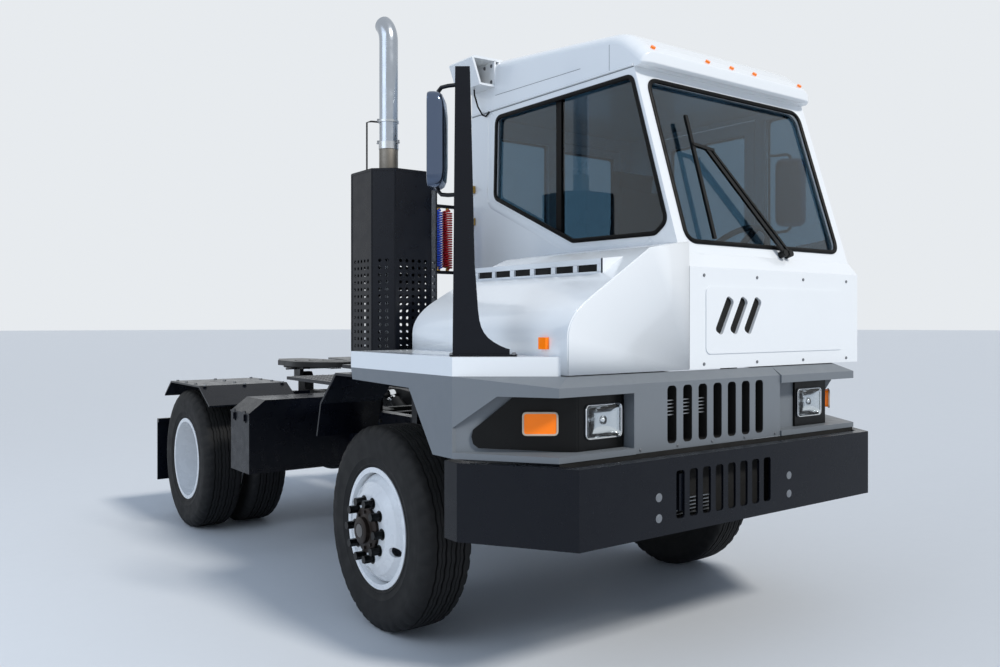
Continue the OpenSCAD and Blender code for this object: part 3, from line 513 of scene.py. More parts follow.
class TRUCK_OT_finishes(bpy.types.Operator):
    """Give every CAD piece its own finish"""
    bl_idname = "truck.finishes"
    bl_label = "Finishes"

    def execute(self, context):
        for mat, names in NODE_FINISH.items():
            for n in names.split():
                me = frame["nodes"][n].data
                me.materials.clear()
                me.materials.append(MATS[mat])
        return {"FINISHED"}


class TRUCK_OT_tyres(bpy.types.Operator):
    """Ribbed highway tyres with zigzag grooves and notched shoulders"""
    bl_idname = "truck.tyres"
    bl_label = "Tyres"

    def execute(self, context):
        # (radius, distance from the middle) from the bead to the crown
        half = [(0.2905, 0.1135), (0.300, 0.1205), (0.316, 0.126), (0.320, 0.1285), (0.3245, 0.1265),
                (0.352, 0.1325), (0.355, 0.134), (0.359, 0.1332), (0.415, 0.1395), (0.440, 0.1398), (0.443, 0.1392),
                (0.446, 0.1396), (0.470, 0.1355), (0.486, 0.129), (0.499, 0.1215), (0.508, 0.112), (0.5125, 0.1045),
                (0.5135, 0.094), (0.514, 0.0785), (0.5035, 0.0765), (0.5035, 0.0695), (0.5145, 0.0675),
                (0.5148, 0.0515), (0.5085, 0.0508), (0.5085, 0.0478), (0.5148, 0.0471), (0.515, 0.0325),
                (0.5035, 0.0305), (0.5035, 0.0235), (0.515, 0.0215), (0.515, 0.003), (0.5095, 0.0022)]
        profile = [(r, -h) for r, h in half] + [(r, h) for r, h in reversed(half)]
        profile.append(profile[0])
        # which points of the half are notched, and which swing in a zigzag
        count = len(half)
        shoulder, grooves = range(13, 17), range(18, count)
        steps, tooth_steps = 240, 6

        def wobble(m, i, r, h):
            j = m if m < count else 2 * count - 1 - m
            k = i % tooth_steps
            if j in grooves:
                h += 0.005 * (abs(k - 3) / 3 - 0.5)
            if j in shoulder and k < 2:
                r -= 0.007
            return r, h

        outer, inner = 1.0795, 0.7445
        for node, body, centres in (
                ("front_tyre_right", "wheel_front_right", [(AXLE_X, -FRONT_Y)]),
                ("front_tyre_left", "wheel_front_left", [(AXLE_X, FRONT_Y)]),
                ("rear_tyres_right", "wheels_rear_right", [(REAR_X, -outer), (REAR_X, -inner)]),
                ("rear_tyres_left", "wheels_rear_left", [(REAR_X, outer), (REAR_X, inner)])):
            parts = [lathe(profile, (x, y, HUB_Z), (0, 1, 0), steps, wobble) for x, y in centres]
            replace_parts(piece("tread_" + node, parts, "tyre_rubber", body), node)
        return {"FINISHED"}


def circle(radius, n, x, y):
    """n spots round a wheel's axis, facing outwards."""
    face = FACE_RIGHT if y < 0 else FACE_LEFT
    turns = [2 * math.pi * i / n for i in range(n)]
    return [(Vector((x + radius * math.cos(a), y, HUB_Z + radius * math.sin(a))), face) for a in turns]


class TRUCK_OT_wheel_hardware(bpy.types.Operator):
    """Nut covers and nuts, hubs with their bolts and sight glass"""
    bl_idname = "truck.wheel_hardware"
    bl_label = "Wheel hardware"

    def execute(self, context):
        s = context.scene.truck_sizes
        for side, tag in SIDES:
            out, body = (0, side, 0), "wheel_front_" + tag
            middle = (AXLE_X, side * FRONT_Y, HUB_Z)
            bolts("nut_covers_front_" + tag, circle(STUD_R, s.nut_count, AXLE_X, side * (FRONT_Y + 0.166)),
                  s.nut_radius, 0.05, "black_abs", body)
            bolts("hub_bolts_front_" + tag, circle(0.09, 8, AXLE_X, side * (FRONT_Y + 0.184)), 0.009, 0.009,
                  "hub_iron", body)
            hub = [(0.1, 0.1652), (0.1135, 0.1655), (0.1135, 0.180), (0.106, 0.185), (0.078, 0.185), (0.066, 0.191),
                   (0.0645, 0.211), (0.057, 0.2155), (0.038, 0.216), (0.036, 0.2135), (0, 0.2135)]
            piece("hub_front_" + tag, [lathe(hub, middle, out, 40)], "hub_iron", body)
            window = [(0.0, 0.2145), (0.034, 0.2145), (0.034, 0.2165), (0, 0.218)]
            piece("oil_window_" + tag, [lathe(window, middle, out, 24)], "oil_glass", body)
            y, body = side * TWIN_Y, "wheels_rear_" + tag
            bolts("nuts_rear_" + tag, circle(STUD_R, s.nut_count, REAR_X, y + side * 0.013), 0.019, 0.036,
                  "zinc_bolt", body)
            hub = [(0.1075, 0.014), (0.108, 0.118), (0.082, 0.1325), (0.07, 0.135), (0.066, 0.15), (0.0, 0.152)]
            piece("hub_rear_" + tag, [lathe(hub, (REAR_X, y, HUB_Z), out, 40)], "hub_iron", body)
            bolts("axle_bolts_" + tag, circle(0.095, 8, REAR_X, y + side * 0.126), 0.009, 0.01, "zinc_bolt", body)
        return {"FINISHED"}


# middle of the windshield's lower edge, the way up its slope and the way out of it
SCREEN = at(1190, 475, 1880)
SCREEN_UP = Vector((886 - 1190, 0, 2810 - 1880)).normalized()
SCREEN_OUT = Vector((SCREEN_UP.z, 0, -SCREEN_UP.x))


def on_screen(y, up):
    """A point on the windshield's plane: metres across from its middle and up its slope."""
    return SCREEN + Vector((0, y, 0)) + SCREEN_UP * up


# corners of the side windows as (x, z)
RIGHT_WINDOW = [(-285, 2765), (870, 2765), (1105, 2030), (1030, 1978), (420, 1984), (-300, 2290)]
LEFT_WINDOW = [(650, 2765), (850, 2765), (1075, 2010), (650, 1960)]


def lip(width, proud):
    """Section of a rubber seal: u stands out of the wall, v lies across it."""
    return [(-0.004, -width / 2), (proud * 0.6, -width / 2), (proud, -width / 4), (proud, width / 4),
            (proud * 0.6, width / 2), (-0.004, width / 2)]


class TRUCK_OT_window_seals(bpy.types.Operator):
    """Black rubber round every pane"""
    bl_idname = "truck.window_seals"
    bl_label = "Window seals"

    def execute(self, context):
        w = context.scene.truck_sizes.seal_width
        pane = ((-0.605, 0.058), (0.605, 0.058), (0.605, 0.918), (-0.605, 0.918))
        screen = rounded([on_screen(y, up) for y, up in pane], 0.07, 8)
        parts = [sweep(screen, lip(w * 1.15, 0.009), SCREEN_OUT, True)]
        right = rounded([at(x, CAB_RIGHT, z) for x, z in RIGHT_WINDOW], 0.05, 5)
        parts.append(sweep(right, lip(w * 1.2, 0.007), (0, -1, 0), True))
        left = rounded([at(x, CAB_LEFT, z) for x, z in LEFT_WINDOW], 0.04, 5)
        parts.append(sweep(left, lip(w, 0.007), ACROSS, True))
        pane = ((-100, 2100), (380, 2100), (380, 2700), (-100, 2700))
        back = rounded([at(CAB_REAR, y, z) for y, z in pane], 0.03, 4)
        parts.append(sweep(back, lip(w * 0.8, 0.005), (-1, 0, 0), True))
        # post between the right window's panes
        parts.append(brick(at(263, -188, 1990), at(307, -160, 2765)))
        piece("window_seals", parts, "seal_rubber", "chassis")
        pane = ((-140, 1950), (500, 1950), (500, 2700), (-140, 2700))
        door = rounded([at(x, CAB_LEFT, z) for x, z in pane], 0.04, 5)
        piece("door_glass_seal", [sweep(door, lip(w, 0.006), ACROSS, True)], "seal_rubber", "door_left")
        pane = ((520, 1950), (1010, 1950), (1010, 2690), (520, 2690))
        rear = rounded([at(-592, y, z) for y, z in pane], 0.04, 5)
        piece("rear_glass_seal", [sweep(rear, lip(w, 0.006), (-1, 0, 0), True)], "seal_rubber", "door_rear")
        return {"FINISHED"}


def slat(t, given):
    """Thin flat fin across y."""
    size = add(t, "ShaderNodeCombineXYZ", {"X": 0.012},
               {"Y": given.outputs["Width"], "Z": given.outputs["Thickness"]})
    return add(t, "GeometryNodeMeshCube", None, {"Size": size.outputs[0]}).outputs["Mesh"]


class TRUCK_OT_grille(bpy.types.Operator):
    """Fins of the grille and bumper slots, black liners and plates of painted shade in the slots and cavities, and the
    bumper's bolts
    """
    bl_idname = "truck.grille"
    bl_label = "Grille and bumper"

    def execute(self, context):
        pitch = context.scene.truck_sizes.fin_pitch
        rises = [Vector((0, 0, i * pitch)) for i in range(int(0.085 / pitch))]
        fin = 0.0045
        slots = [-64 + 101 * (i - 3) for i in range(7)]
        # black liners of painted shade on the walls of the grille's slots
        wall = [(-0.064, -0.0008), (-0.002, -0.0008), (-0.002, 0.0008), (-0.064, 0.0008)]
        liners = [sweep(box_loop(at(1300, y, 1145), ACROSS, UP, 0.0572, 0.2542, 0.019), wall, (1, 0, 0), True)
                  for y in slots]
        piece("slot_shade_liners", liners, "painted_shade_black", "chassis")
        # bright edges of the cooler show in the right-hand slots only
        spots = [(at(1278, y, 1142) + rise, FACE_UP) for y in slots[:3] for rise in rises]
        repeat("grille_fins", spots, {"Width": 0.0565, "Thickness": fin}, slat, "fin_aluminium", "chassis")
        spots = [(at(1355, -326, 717) + rise, FACE_UP) for rise in rises]
        repeat("cooler_fins", spots, {"Width": 0.3, "Thickness": fin}, slat, "fin_aluminium", "chassis")
        # black plates of painted shade behind the grille, behind the bumper's slots and under the fascia
        plates = [brick(at(1178, -440, 1000), at(1184, 310, 1290)), brick(at(1335, -520, 690), at(1341, 280, 940)),
                  brick(at(1303, -1015, 880), at(1307, 1015, 990))]
        piece("cavity_shade_plates", plates, "painted_shade_black", "chassis")
        spots = [(at(1409, y, z), FACE_FRONT) for y in (-561, 324) for z in (729, 817)]
        bolts("bumper_bolts", spots, 0.014, 0.002, "zinc_bolt", "chassis")
        return {"FINISHED"}


def dish(loop, steps, out):
    """Nested copies of a closed loop, each (scale, depth) along out, closed in the middle."""
    centre = sum((Vector(p) for p in loop), Vector()) / len(loop)
    out = Vector(out).normalized()
    verts, faces = [], []
    n = len(loop)
    for scale, depth in steps:
        verts += [centre + (Vector(p) - centre) * scale + out * depth for p in loop]
    for k in range(len(steps) - 1):
        for i in range(n):
            j = (i + 1) % n
            faces.append((k * n + i, k * n + j, (k + 1) * n + j, (k + 1) * n + i))
    faces.append(tuple(range((len(steps) - 1) * n, len(steps) * n)))
    return verts, faces


def box_loop(centre, wide, high, w, h, r, steps=6):
    """Rounded rectangle of w x h about a point, spanned by two unit vectors."""
    wide, high = Vector(wide), Vector(high)
    corners = ((-1, -1), (1, -1), (1, 1), (-1, 1))
    return rounded([Vector(centre) + wide * (a * w / 2) + high * (b * h / 2) for a, b in corners], r, steps)


class TRUCK_OT_lamps(bpy.types.Operator):
    """Headlamps with a bowl, bulb shield and clear lens, black bezel corners and rims on the turn signals"""
    bl_idname = "truck.lamps"
    bl_label = "Lamps"

    def execute(self, context):
        # both bezels of a lamp panel meet in one black corner
        plan = [(1225, 858), (1238, 858), (1238, 868.6), (1225, 886), (1215.4, 878.8), (1225, 866)]
        corners = [([at(x, side * y, z) for z in (1016, 1250) for x, y in plan], slab(len(plan)))
                   for side in (-1, 1)]
        piece("bezel_corners", corners, "black_abs", "chassis")
        # (scale, depth) of bowl and lens, (radius, height) of the shield
        bowl = [(1.0, 0.015), (0.94, 0.0145), (0.9, 0.011), (0.72, 0.005), (0.45, 0.0015), (0.3, 0.001)]
        lens = [(1.0, 0), (0.97, 0.001), (0.7, 0.0022), (0.35, 0.0028), (0.1, 0.003)]
        shield = [(0, 0.0155), (0.012, 0.0145), (0.019, 0.009), (0.02, 0.002), (0, 0.002)]
        bowls, rims, shields, lenses = [], [], [], []
        fwd = Vector((1, 0, 0))
        for side in (-1, 1):
            c = at(1228, side * 720, 1135)
            bowls.append(dish(box_loop(c, ACROSS, UP, 0.198, 0.14, 0.02), bowl, fwd))
            edge = box_loop(c + fwd * 0.016, ACROSS, UP, 0.2, 0.142, 0.021)
            rims.append(sweep(edge, ring(0.0035, 8), fwd, True))
            shields.append(lathe(shield, c + Vector((0, 0, 0.004)), fwd, 20))
            lenses.append(dish(box_loop(c + fwd * 0.0165, ACROSS, UP, 0.196, 0.138, 0.019), lens, fwd))
        reflectors = piece("headlamp_bowls", bowls, "reflector", "chassis")
        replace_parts(reflectors, "headlamps")
        piece("headlamp_rims", rims, "chrome", "chassis")
        piece("bulb_shields", shields, "chrome", "chassis")
        piece("headlamp_lenses", lenses, "lamp_glass", "chassis")
        # turn signal rims on the chamfers
        along = Vector((-295, 396, 0)).normalized()
        rims = []
        for side in (-1, 1):
            u = Vector((along.x, side * along.y, 0))
            out = Vector((along.y, -side * along.x, 0))
            c = at(1225, side * 866, 1136) + u * 0.145 + out * 0.036
            rims.append(sweep(box_loop(c, u, UP, 0.141, 0.091, 0.0155), lip(0.008, 0.004), out, True))
        piece("signal_rims", rims, "amber_rim", "chassis")
        return {"FINISHED"}


class TRUCK_OT_front_panel(bpy.types.Operator):
    """Small bolts, grey seam lines of painted shadow and black vent backs of painted shade on the cab front"""
    bl_idname = "truck.front_panel"
    bl_label = "Front panel"

    def execute(self, context):
        spots = [(at(1250.5, y, z), FACE_FRONT) for z in (1772, 1358) for y in (-101, 285, 658, 1043)]
        bolts("front_panel_bolts", spots, 0.006, 0.004, "zinc_bolt", "chassis")
        # black backs of painted shade behind the three front vents
        turn = math.radians(28.5)
        wide = Vector((0, math.cos(turn), -math.sin(turn)))
        high = Vector((0, math.sin(turn), math.cos(turn)))
        backs = [dish(box_loop(at(1238, 40 + 104 * i, 1585), wide, high, 0.0575, 0.1915, 0.0285),
                      [(1.0, 0.0), (1.0, 0.001)], (1, 0, 0)) for i in range(3)]
        piece("vent_shade_backs", backs, "painted_shade_black", "chassis")
        # grey strips of painted shadow: the joint at the front's right corner, and a line on the roof cap's right side
        seams = [brick(at(1249.8, -201, 1340), at(1250.4, -199, 1812)),
                 brick(at(704, -200.6, 2822), at(707, -199.6, 2958))]
        piece("panel_seam_shadows", seams, "crease_shadow", "chassis")
        # fasteners along the grille's and lamp panels' lower edge
        spots = [(at(1300.5, y, 1005), FACE_FRONT) for y in (-560, -330, -100, 130, 360)]
        bolts("grille_bolts", spots, 0.006, 0.003, "zinc_bolt", "chassis")
        return {"FINISHED"}


def prism(section, x0, x1):
    """A (y, z) outline carried from one list of x to another, one x a corner."""
    verts = [at(x, y, z) for xs in (x0, x1) for x, (y, z) in zip(xs, section)]
    return verts, slab(len(section))


class TRUCK_OT_hood_vents(bpy.types.Operator):
    """Moulded hood with a soft shoulder, and the raised ridge on its slope with six vents, black behind with painted
    shade
    """
    bl_idname = "truck.hood_vents"
    bl_label = "Hood and vents"

    def execute(self, context):
        lo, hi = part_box("engine_hood")
        wall, side, nose, tail = hi[1], lo[1], hi[0], lo[0]
        ridge = wall - 0.345 * (wall - side)
        inner = wall - 0.001
        # the side's outline: upright, rolled over the shoulder, up the slope to the ridge and in to the cab
        low, knee, peak = Vector((side, 1.494)), Vector((side, 1.58)), Vector((ridge, 1.885))
        high = knee.lerp(peak, 0.26)
        line = [Vector((side, lo[2]))]
        line += [low.lerp(knee, k / 8).lerp(knee.lerp(high, k / 8), k / 8) for k in range(9)]
        line += [high.lerp(peak, k / 4) for k in range(1, 5)] + [Vector((inner, 1.925))]
        # the rear end rolls forward towards the top
        r, start = 0.33, 1.595
        tails = [tail + (r - math.sqrt(r * r - max(0.0, p.y - start) ** 2)) for p in line]
        n = len(line)
        verts = [Vector((x, p.x, p.y)) for x, p in zip(tails, line)] + [Vector((nose, p.x, p.y)) for p in line]
        verts += [Vector((x, inner, p.y)) for x, p in zip(tails, line)] + [Vector((nose, inner, lo[2]))]
        faces = [(k, k + 1, n + k + 1, n + k) for k in range(n - 1)]
        faces += [(k, 2 * n + k, 2 * n + k + 1, k + 1) for k in range(n - 1)]
        faces.append(tuple(range(n, 2 * n)) + (3 * n,))
        hood = piece("hood_skin", [(verts, faces)], "cab_enamel", "chassis", bevel=0.005)
        shell = hood.modifiers.new("wall", "SOLIDIFY")
        shell.thickness, shell.offset = 0.006, -1.0
        dg = context.evaluated_depsgraph_get()
        hood.data = bpy.data.meshes.new_from_object(hood.evaluated_get(dg))
        hood.modifiers.clear()
        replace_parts(hood, "engine_hood")
        # ridge on the slope: two bars with the posts between the vents, and its front end
        face, depth, front = -627, 14, 1130
        vents = [(152, 281), (307, 438), (472, 603), (635, 767), (797, 928), (956, 1093)]
        top = [(face, 1811), (face, 1836), (-507, 1849), (-500, 1838), (face + depth, 1811)]
        parts = [prism(top, (64, 85, 99, 96, 64), (front,) * 5)]
        low = [(face, 1764), (face, 1779), (face + depth, 1779), (face + depth, 1772)]
        parts.append(prism(low, (30, 38, 38, 33), (front,) * 4))
        edges = [44] + [x for pair in vents for x in pair] + [front]
        for a, b in zip(edges[::2], edges[1::2]):
            parts.append(brick(at(a, face, 1778), at(b, face + depth, 1812)))
        end = [(face, 1764), (face, 1836), (-507, 1849), (-507, 1842)]
        parts.append(prism(end, (front - 10,) * 4, (front + 2,) * 4))
        piece("vent_ridge", parts, "cab_enamel", "chassis")
        # a black plate of painted shade behind the ridge's vents
        back = brick(at(120, face + depth - 4, 1776), at(1110, face + depth - 1, 1814))
        piece("ridge_shade_backs", [back], "painted_shade_black", "chassis")
        return {"FINISHED"}


def pierced_cell(t, given):
    """Square of sheet steel with one round hole, its outer face at z = 0."""
    pitch, radius, sheet = (given.outputs[k] for k in ("Pitch", "Radius", "Sheet"))
    square = add(t, "GeometryNodeCurvePrimitiveQuadrilateral", None, {"Width": pitch, "Height": pitch})
    hole = add(t, "GeometryNodeCurvePrimitiveCircle", {"Resolution": 12}, {"Radius": radius})
    both = add(t, "GeometryNodeJoinGeometry", None, {0: square.outputs[0]})
    t.links.new(hole.outputs["Curve"], both.inputs[0])
    flat = add(t, "GeometryNodeFillCurve", None, {"Curve": both.outputs[0]}).outputs[0]
    raised = add(t, "GeometryNodeExtrudeMesh", {"Individual": False}, {"Mesh": flat, "Offset Scale": sheet})
    back = add(t, "GeometryNodeFlipFaces", None, {"Mesh": flat}).outputs[0]
    shell = add(t, "GeometryNodeJoinGeometry", None, {0: raised.outputs["Mesh"]})
    t.links.new(back, shell.inputs[0])
    down = add(t, "ShaderNodeMath", {"operation": "MULTIPLY", 1: -1.0}, {0: sheet}).outputs[0]
    drop = add(t, "ShaderNodeCombineXYZ", None, {"Z": down}).outputs[0]
    return add(t, "GeometryNodeTransform", None, {"Geometry": shell.outputs[0], "Translation": drop}).outputs[0]


class TRUCK_OT_roof(bpy.types.Operator):
    """Roof cap moulded in one soft curve, with its visor and the open lamp housing"""
    bl_idname = "truck.roof"
    bl_label = "Roof cap"

    def execute(self, context):
        rise, visor = 310, 955
        roll, drop, steps = 85, 58, 8
        verts, faces = [], []
        turns = [math.pi / 2 * k / steps for k in range(steps + 1)]
        layers = [(CAB_RIGHT + roll * (1 - math.cos(t)), drop * (1 - math.sin(t))) for t in turns]
        layers += [(CAB_LEFT - roll * (1 - math.cos(t)), drop * (1 - math.sin(t))) for t in reversed(turns)]
        for y, d in layers:
            v = visor - 0.45 * d
            # (x, z, radius) of the side outline's corners
            corners = [(CAB_REAR, GUTTER, 0.002), (v - 15, GUTTER, 0.002), (v, GUTTER + 14, 0.01),
                       (v - 2, GUTTER + 72 - d, 0.02), (v - 50, GUTTER + 115 - d, 0.02),
                       (v - 170, GUTTER + 0.66 * rise - d, 0.35), (400, GUTTER + 0.79 * rise - d, 1.5),
                       (-300, GUTTER + rise - d, 0.8), (-500, GUTTER + rise - 20 - d, 0.2),
                       (CAB_REAR, GUTTER + rise - 80 - d, 0.05)]
            verts += rounded([at(x, y, z) for x, z, _ in corners], [r for _, _, r in corners], 5)
        n = len(verts) // len(layers)
        for k in range(len(layers) - 1):
            faces += [(k * n + i, k * n + (i + 1) % n, (k + 1) * n + (i + 1) % n, (k + 1) * n + i) for i in range(n)]
        faces += [tuple(range(n)), tuple(range(len(verts) - n, len(verts)))]
        top = GUTTER + rise
        # floor, outer wall, lid and inner wall of the lamp housing, as (y, z) from the cab's side and the roof's top
        walls = [[(5, -170), (-110, -170), (-101, -158), (5, -158)],
                 [(-110, -170), (-165, -20), (-150, -20), (-101, -158)],
                 [(-165, -20), (-150, -5), (55, -2), (55, -20), (-6, -16), (-150, -20)],
                 [(-6, -158), (5, -158), (5, -14), (-6, -14)]]
        housing = [prism([(CAB_RIGHT + y, top + z) for y, z in w], (CAB_REAR,) * len(w), (-300,) * len(w))
                   for w in walls]
        cap = piece("roof_cap", [(verts, faces)] + housing, "cab_enamel", "chassis")
        # the two many-cornered ends are flat
        for face in cap.data.polygons:
            if len(face.vertices) > 6:
                face.use_smooth = False
        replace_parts(cap, "cab_roof")
        return {"FINISHED"}


class TRUCK_OT_exhaust(bpy.types.Operator):
    """Pierced shroud with its folds and cap, clamps and stay of the stack"""
    bl_idname = "truck.exhaust"
    bl_label = "Exhaust"

    def execute(self, context):
        s = context.scene.truck_sizes
        # middle of the shroud, middle of the stack and the octagon's half widths
        cx, cy = -345, -850
        px, py = cx - 10, cy - 30
        half_x, half_y, cut = 207.5, 200, 90
        pts = [(half_x, cut - half_y), (half_x, half_y - cut), (half_x - cut, half_y), (cut - half_x, half_y),
               (-half_x, half_y - cut), (-half_x, cut - half_y), (cut - half_x, -half_y), (half_x - cut, -half_y)]
        sheet, low, high, floor = 0.003, 1.315, 2.367, 1.405
        rows = int(0.53 / s.hole_pitch)
        ceiling = floor + rows * s.hole_pitch
        spots, plain = [], []
        for (ax, ay), (bx, by) in zip(pts, pts[1:] + pts[:1]):
            a, b = at(cx + ax, cy + ay, 0), at(cx + bx, cy + by, 0)
            d = (b - a).normalized()
            n = Vector((d.y, -d.x, 0))
            turn = tuple(n.to_track_quat("Z", "Y").to_euler())
            wide = (b - a).length
            cols = int((wide - 0.02) / s.hole_pitch)
            edge = (wide - cols * s.hole_pitch) / 2
            for c in range(cols):
                for r in range(rows):
                    p = a + d * (edge + (c + 0.5) * s.hole_pitch)
                    spots.append((p + Vector((0, 0, floor + (r + 0.5) * s.hole_pitch)), turn))
            # plain margins round the pierced field
            for u0, u1, z0, z1 in ((0, wide, low, floor), (0, wide, ceiling, high), (0, edge, floor, ceiling),
                                   (wide - edge, wide, floor, ceiling)):
                foot = [a + d * u0, a + d * u1, a + d * u1 - n * sheet, a + d * u0 - n * sheet]
                plain.append(([Vector((p.x, p.y, z)) for z in (z0, z1) for p in foot], BOX_FACES))

        def reach(t):
            """From the stack's middle to the octagon's edge, towards angle t."""
            ct, st = math.cos(t), math.sin(t)
            walls = [(math.copysign(half_x, ct) + cx - px) / ct, (math.copysign(half_y, st) + cy - py) / st]
            walls += [(half_x + half_y - cut - sx * (px - cx) - sy * (py - cy)) / (sx * ct + sy * st)
                      for sx in (-1, 1) for sy in (-1, 1) if sx * ct + sy * st > 0]
            return min(w for w in walls if w > 0)

        # cap with the hole that the stack comes through
        turns = [math.atan2(cy + y - py, cx + x - px) for x, y in pts]
        turns = sorted(turns + [math.pi * (k / 20 - 1) + 0.01 for k in range(40)])
        rim = [(reach(t), t) for t in turns]
        hole = 56
        k = len(rim)
        verts = [at(px + r * math.cos(t), py + r * math.sin(t), z) for z in (2361, 2367) for r, t in rim]
        verts += [at(px + hole * math.cos(t), py + hole * math.sin(t), z) for z in (2361, 2367) for t in turns]
        faces = []
        for i in range(k):
            j = (i + 1) % k
            faces += [(i, j, k + j, k + i), (k + i, k + j, 3 * k + j, 3 * k + i),
                      (3 * k + i, 3 * k + j, 2 * k + j, 2 * k + i), (2 * k + i, 2 * k + j, j, i)]
        plain.append((verts, faces))
        shroud = piece("shroud_sheets", plain, "frame_enamel", "chassis")
        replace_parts(shroud, "exhaust_shroud")
        repeat("shroud_perforations", spots, {"Pitch": s.hole_pitch, "Radius": s.hole_radius, "Sheet": sheet},
               pierced_cell, "frame_enamel", "chassis")
        # rounded folds at the corners and a bead round the top
        folds = [sweep([at(cx + x * 1.002, cy + y * 1.002, z) for z in (1318, 2364)], ring(0.0035, 6))
                 for x, y in pts]
        bead = [(-0.012, -0.002), (0.0015, -0.002), (0.0015, 0.002), (-0.012, 0.002)]
        folds.append(sweep([at(cx + x, cy + y, 2367) for x, y in pts], bead, UP, True))
        piece("shroud_folds", folds, "frame_enamel", "chassis")

        def clamp(z, height, r):
            band = [(0.0512, 0), (r, 0), (r, height), (0.0512, height), (0.0512, 0)]
            return lathe(band, at(px, py, z), UP, 40)

        clamps = [clamp(2505, 0.04, 0.0545), clamp(2652, 0.012, 0.0565), clamp(2368, 0.01, 0.0535)]
        piece("stack_clamps", clamps, "bright_steel", "chassis")
        stay = [at(px + x, py + y, z) for x, y, z in ((-74, -95, 2366), (-74, -95, 2656), (-60, -77, 2662),
                                                      (-28, -37, 2658))]
        piece("stack_stay", [sweep(stay, ring(0.005, 8))], "axle_enamel", "chassis")
        spots = [(at(px + 57 * math.cos(a), py + 57 * math.sin(a), z), FACE_UP)
                 for a, z in ((-2.3, 2540), (-2.3, 2660), (0.6, 2540))]
        bolts("clamp_bolts", spots, 0.008, 0.016, "zinc_bolt", "chassis")
        # lower, unpolished length of pipe
        sleeve = [(0.0513, 0), (0.0517, 0.002), (0.0517, 0.133), (0.0513, 0.135)]
        piece("stack_sleeve", [lathe(sleeve, at(px, py, 2372), UP, 40)], "heat_steel", "chassis")
        return {"FINISHED"}


class TRUCK_OT_air_lines(bpy.types.Operator):
    """Coiled air lines held by the rack at both ends, with their fittings"""
    bl_idname = "truck.air_lines"
    bl_label = "Air lines"

    def execute(self, context):
        ferrule = [(0, 0), (0.011, 0), (0.011, 0.012), (0.007, 0.016), (0.007, 0.024), (0, 0.024)]
        sides, tall, x = 16, 0.352, -700
        n = 24 * sides
        for node, mat, y, radius in (("air_hose_red", "red_nylon", -284, 0.0275),
                                     ("air_hose_blue", "blue_nylon", -347, 0.0195)):
            turns = [(2 * math.pi * i / sides, tall * i / n) for i in range(n + 1)]
            coil = [at(x, y, 1888) + Vector((radius * math.cos(a), radius * math.sin(a), h)) for a, h in turns]
            path = [at(x, y, 1874)] + coil + [at(x, y, 2256)]
            hose = piece("coil_" + node, [sweep(path, ring(0.0062, 8))], mat, "chassis")
            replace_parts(hose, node)
            ends = [lathe(ferrule, at(x, y, z), (0, 0, d), 16) for z, d in ((1870, 1), (2260, -1))]
            piece("fittings_" + node, ends, "brass", "chassis")
        return {"FINISHED"}


def cushion(name, centre, size, squeeze, mat, bulge, tilt=0.0):
    """Crowned pad: a fine grid box whose faces swell and whose sides pull in between the corners."""
    cx, cy, cz = size
    n = (14, 14, 6)
    verts, faces, index = [], [], {}

    def vert(i, j, k):
        if (i, j, k) not in index:
            u, v, w = 2 * i / n[0] - 1, 2 * j / n[1] - 1, 2 * k / n[2] - 1
            swell = (1 - u ** 4) * (1 - v ** 4)
            x = u * cx / 2 * (1 - squeeze * (1 - v * v) * abs(u) ** 3)
            y = v * cy / 2 * (1 - squeeze * (1 - u * u) * abs(v) ** 3)
            edge = 1 - 0.22 * max(abs(u) ** 8, abs(v) ** 8)
            z = w * cz / 2 * edge * (1 + (bulge * swell if w > 0 else 0.0))
            # a sewn channel across the pad
            if w > 0.9 and abs(abs(u) - 0.43) < 0.08:
                z -= 0.006 * swell
            index[(i, j, k)] = len(verts)
            p = Matrix.Rotation(tilt, 4, "Y") @ Vector((x, y, z))
            verts.append(Vector(centre) + p)
        return index[(i, j, k)]

    for a in range(n[0]):
        for b in range(n[1]):
            for k in (0, n[2]):
                faces.append((vert(a, b, k), vert(a + 1, b, k), vert(a + 1, b + 1, k), vert(a, b + 1, k)))
    for a in range(n[0]):
        for c in range(n[2]):
            for b in (0, n[1]):
                faces.append((vert(a, b, c), vert(a + 1, b, c), vert(a + 1, b, c + 1), vert(a, b, c + 1)))
    for b in range(n[1]):
        for c in range(n[2]):
            for a in (0, n[0]):
                faces.append((vert(a, b, c), vert(a, b + 1, c), vert(a, b + 1, c + 1), vert(a, b, c + 1)))
    ob = piece(name, [(verts, faces)], mat, "chassis")


class TRUCK_OT_seat(bpy.types.Operator):
    """Driver's seat: pedestal, padded base and back"""
    bl_idname = "truck.seat"
    bl_label = "Seat"

    def execute(self, context):
        base = [brick(at(110, 400, 1375), at(530, 840, 1430)), brick(at(150, 440, 1430), at(490, 800, 1600)),
                brick(at(80, 385, 1600), at(560, 855, 1640))]
        # bellows folds round the suspension column
        base += [brick(at(138, 428, z), at(502, 812, z + 16)) for z in range(1446, 1590, 34)]
        stand = piece("seat_stand", base, "cab_trim", "chassis", bevel=0.006)
        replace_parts(stand, "seat")
        cushion("seat_base_pad", at(318, 620, 1704), (0.5, 0.48, 0.115), 0.05, "seat_cloth", 0.2)
        cushion("seat_back_pad", at(92, 620, 2085), (0.56, 0.46, 0.105), 0.06, "seat_cloth", 0.18, math.radians(-81))
        cushion("seat_head_pad", at(22, 620, 2415), (0.12, 0.29, 0.09), 0.05, "seat_cloth", 0.15, math.radians(-81))
        return {"FINISHED"}


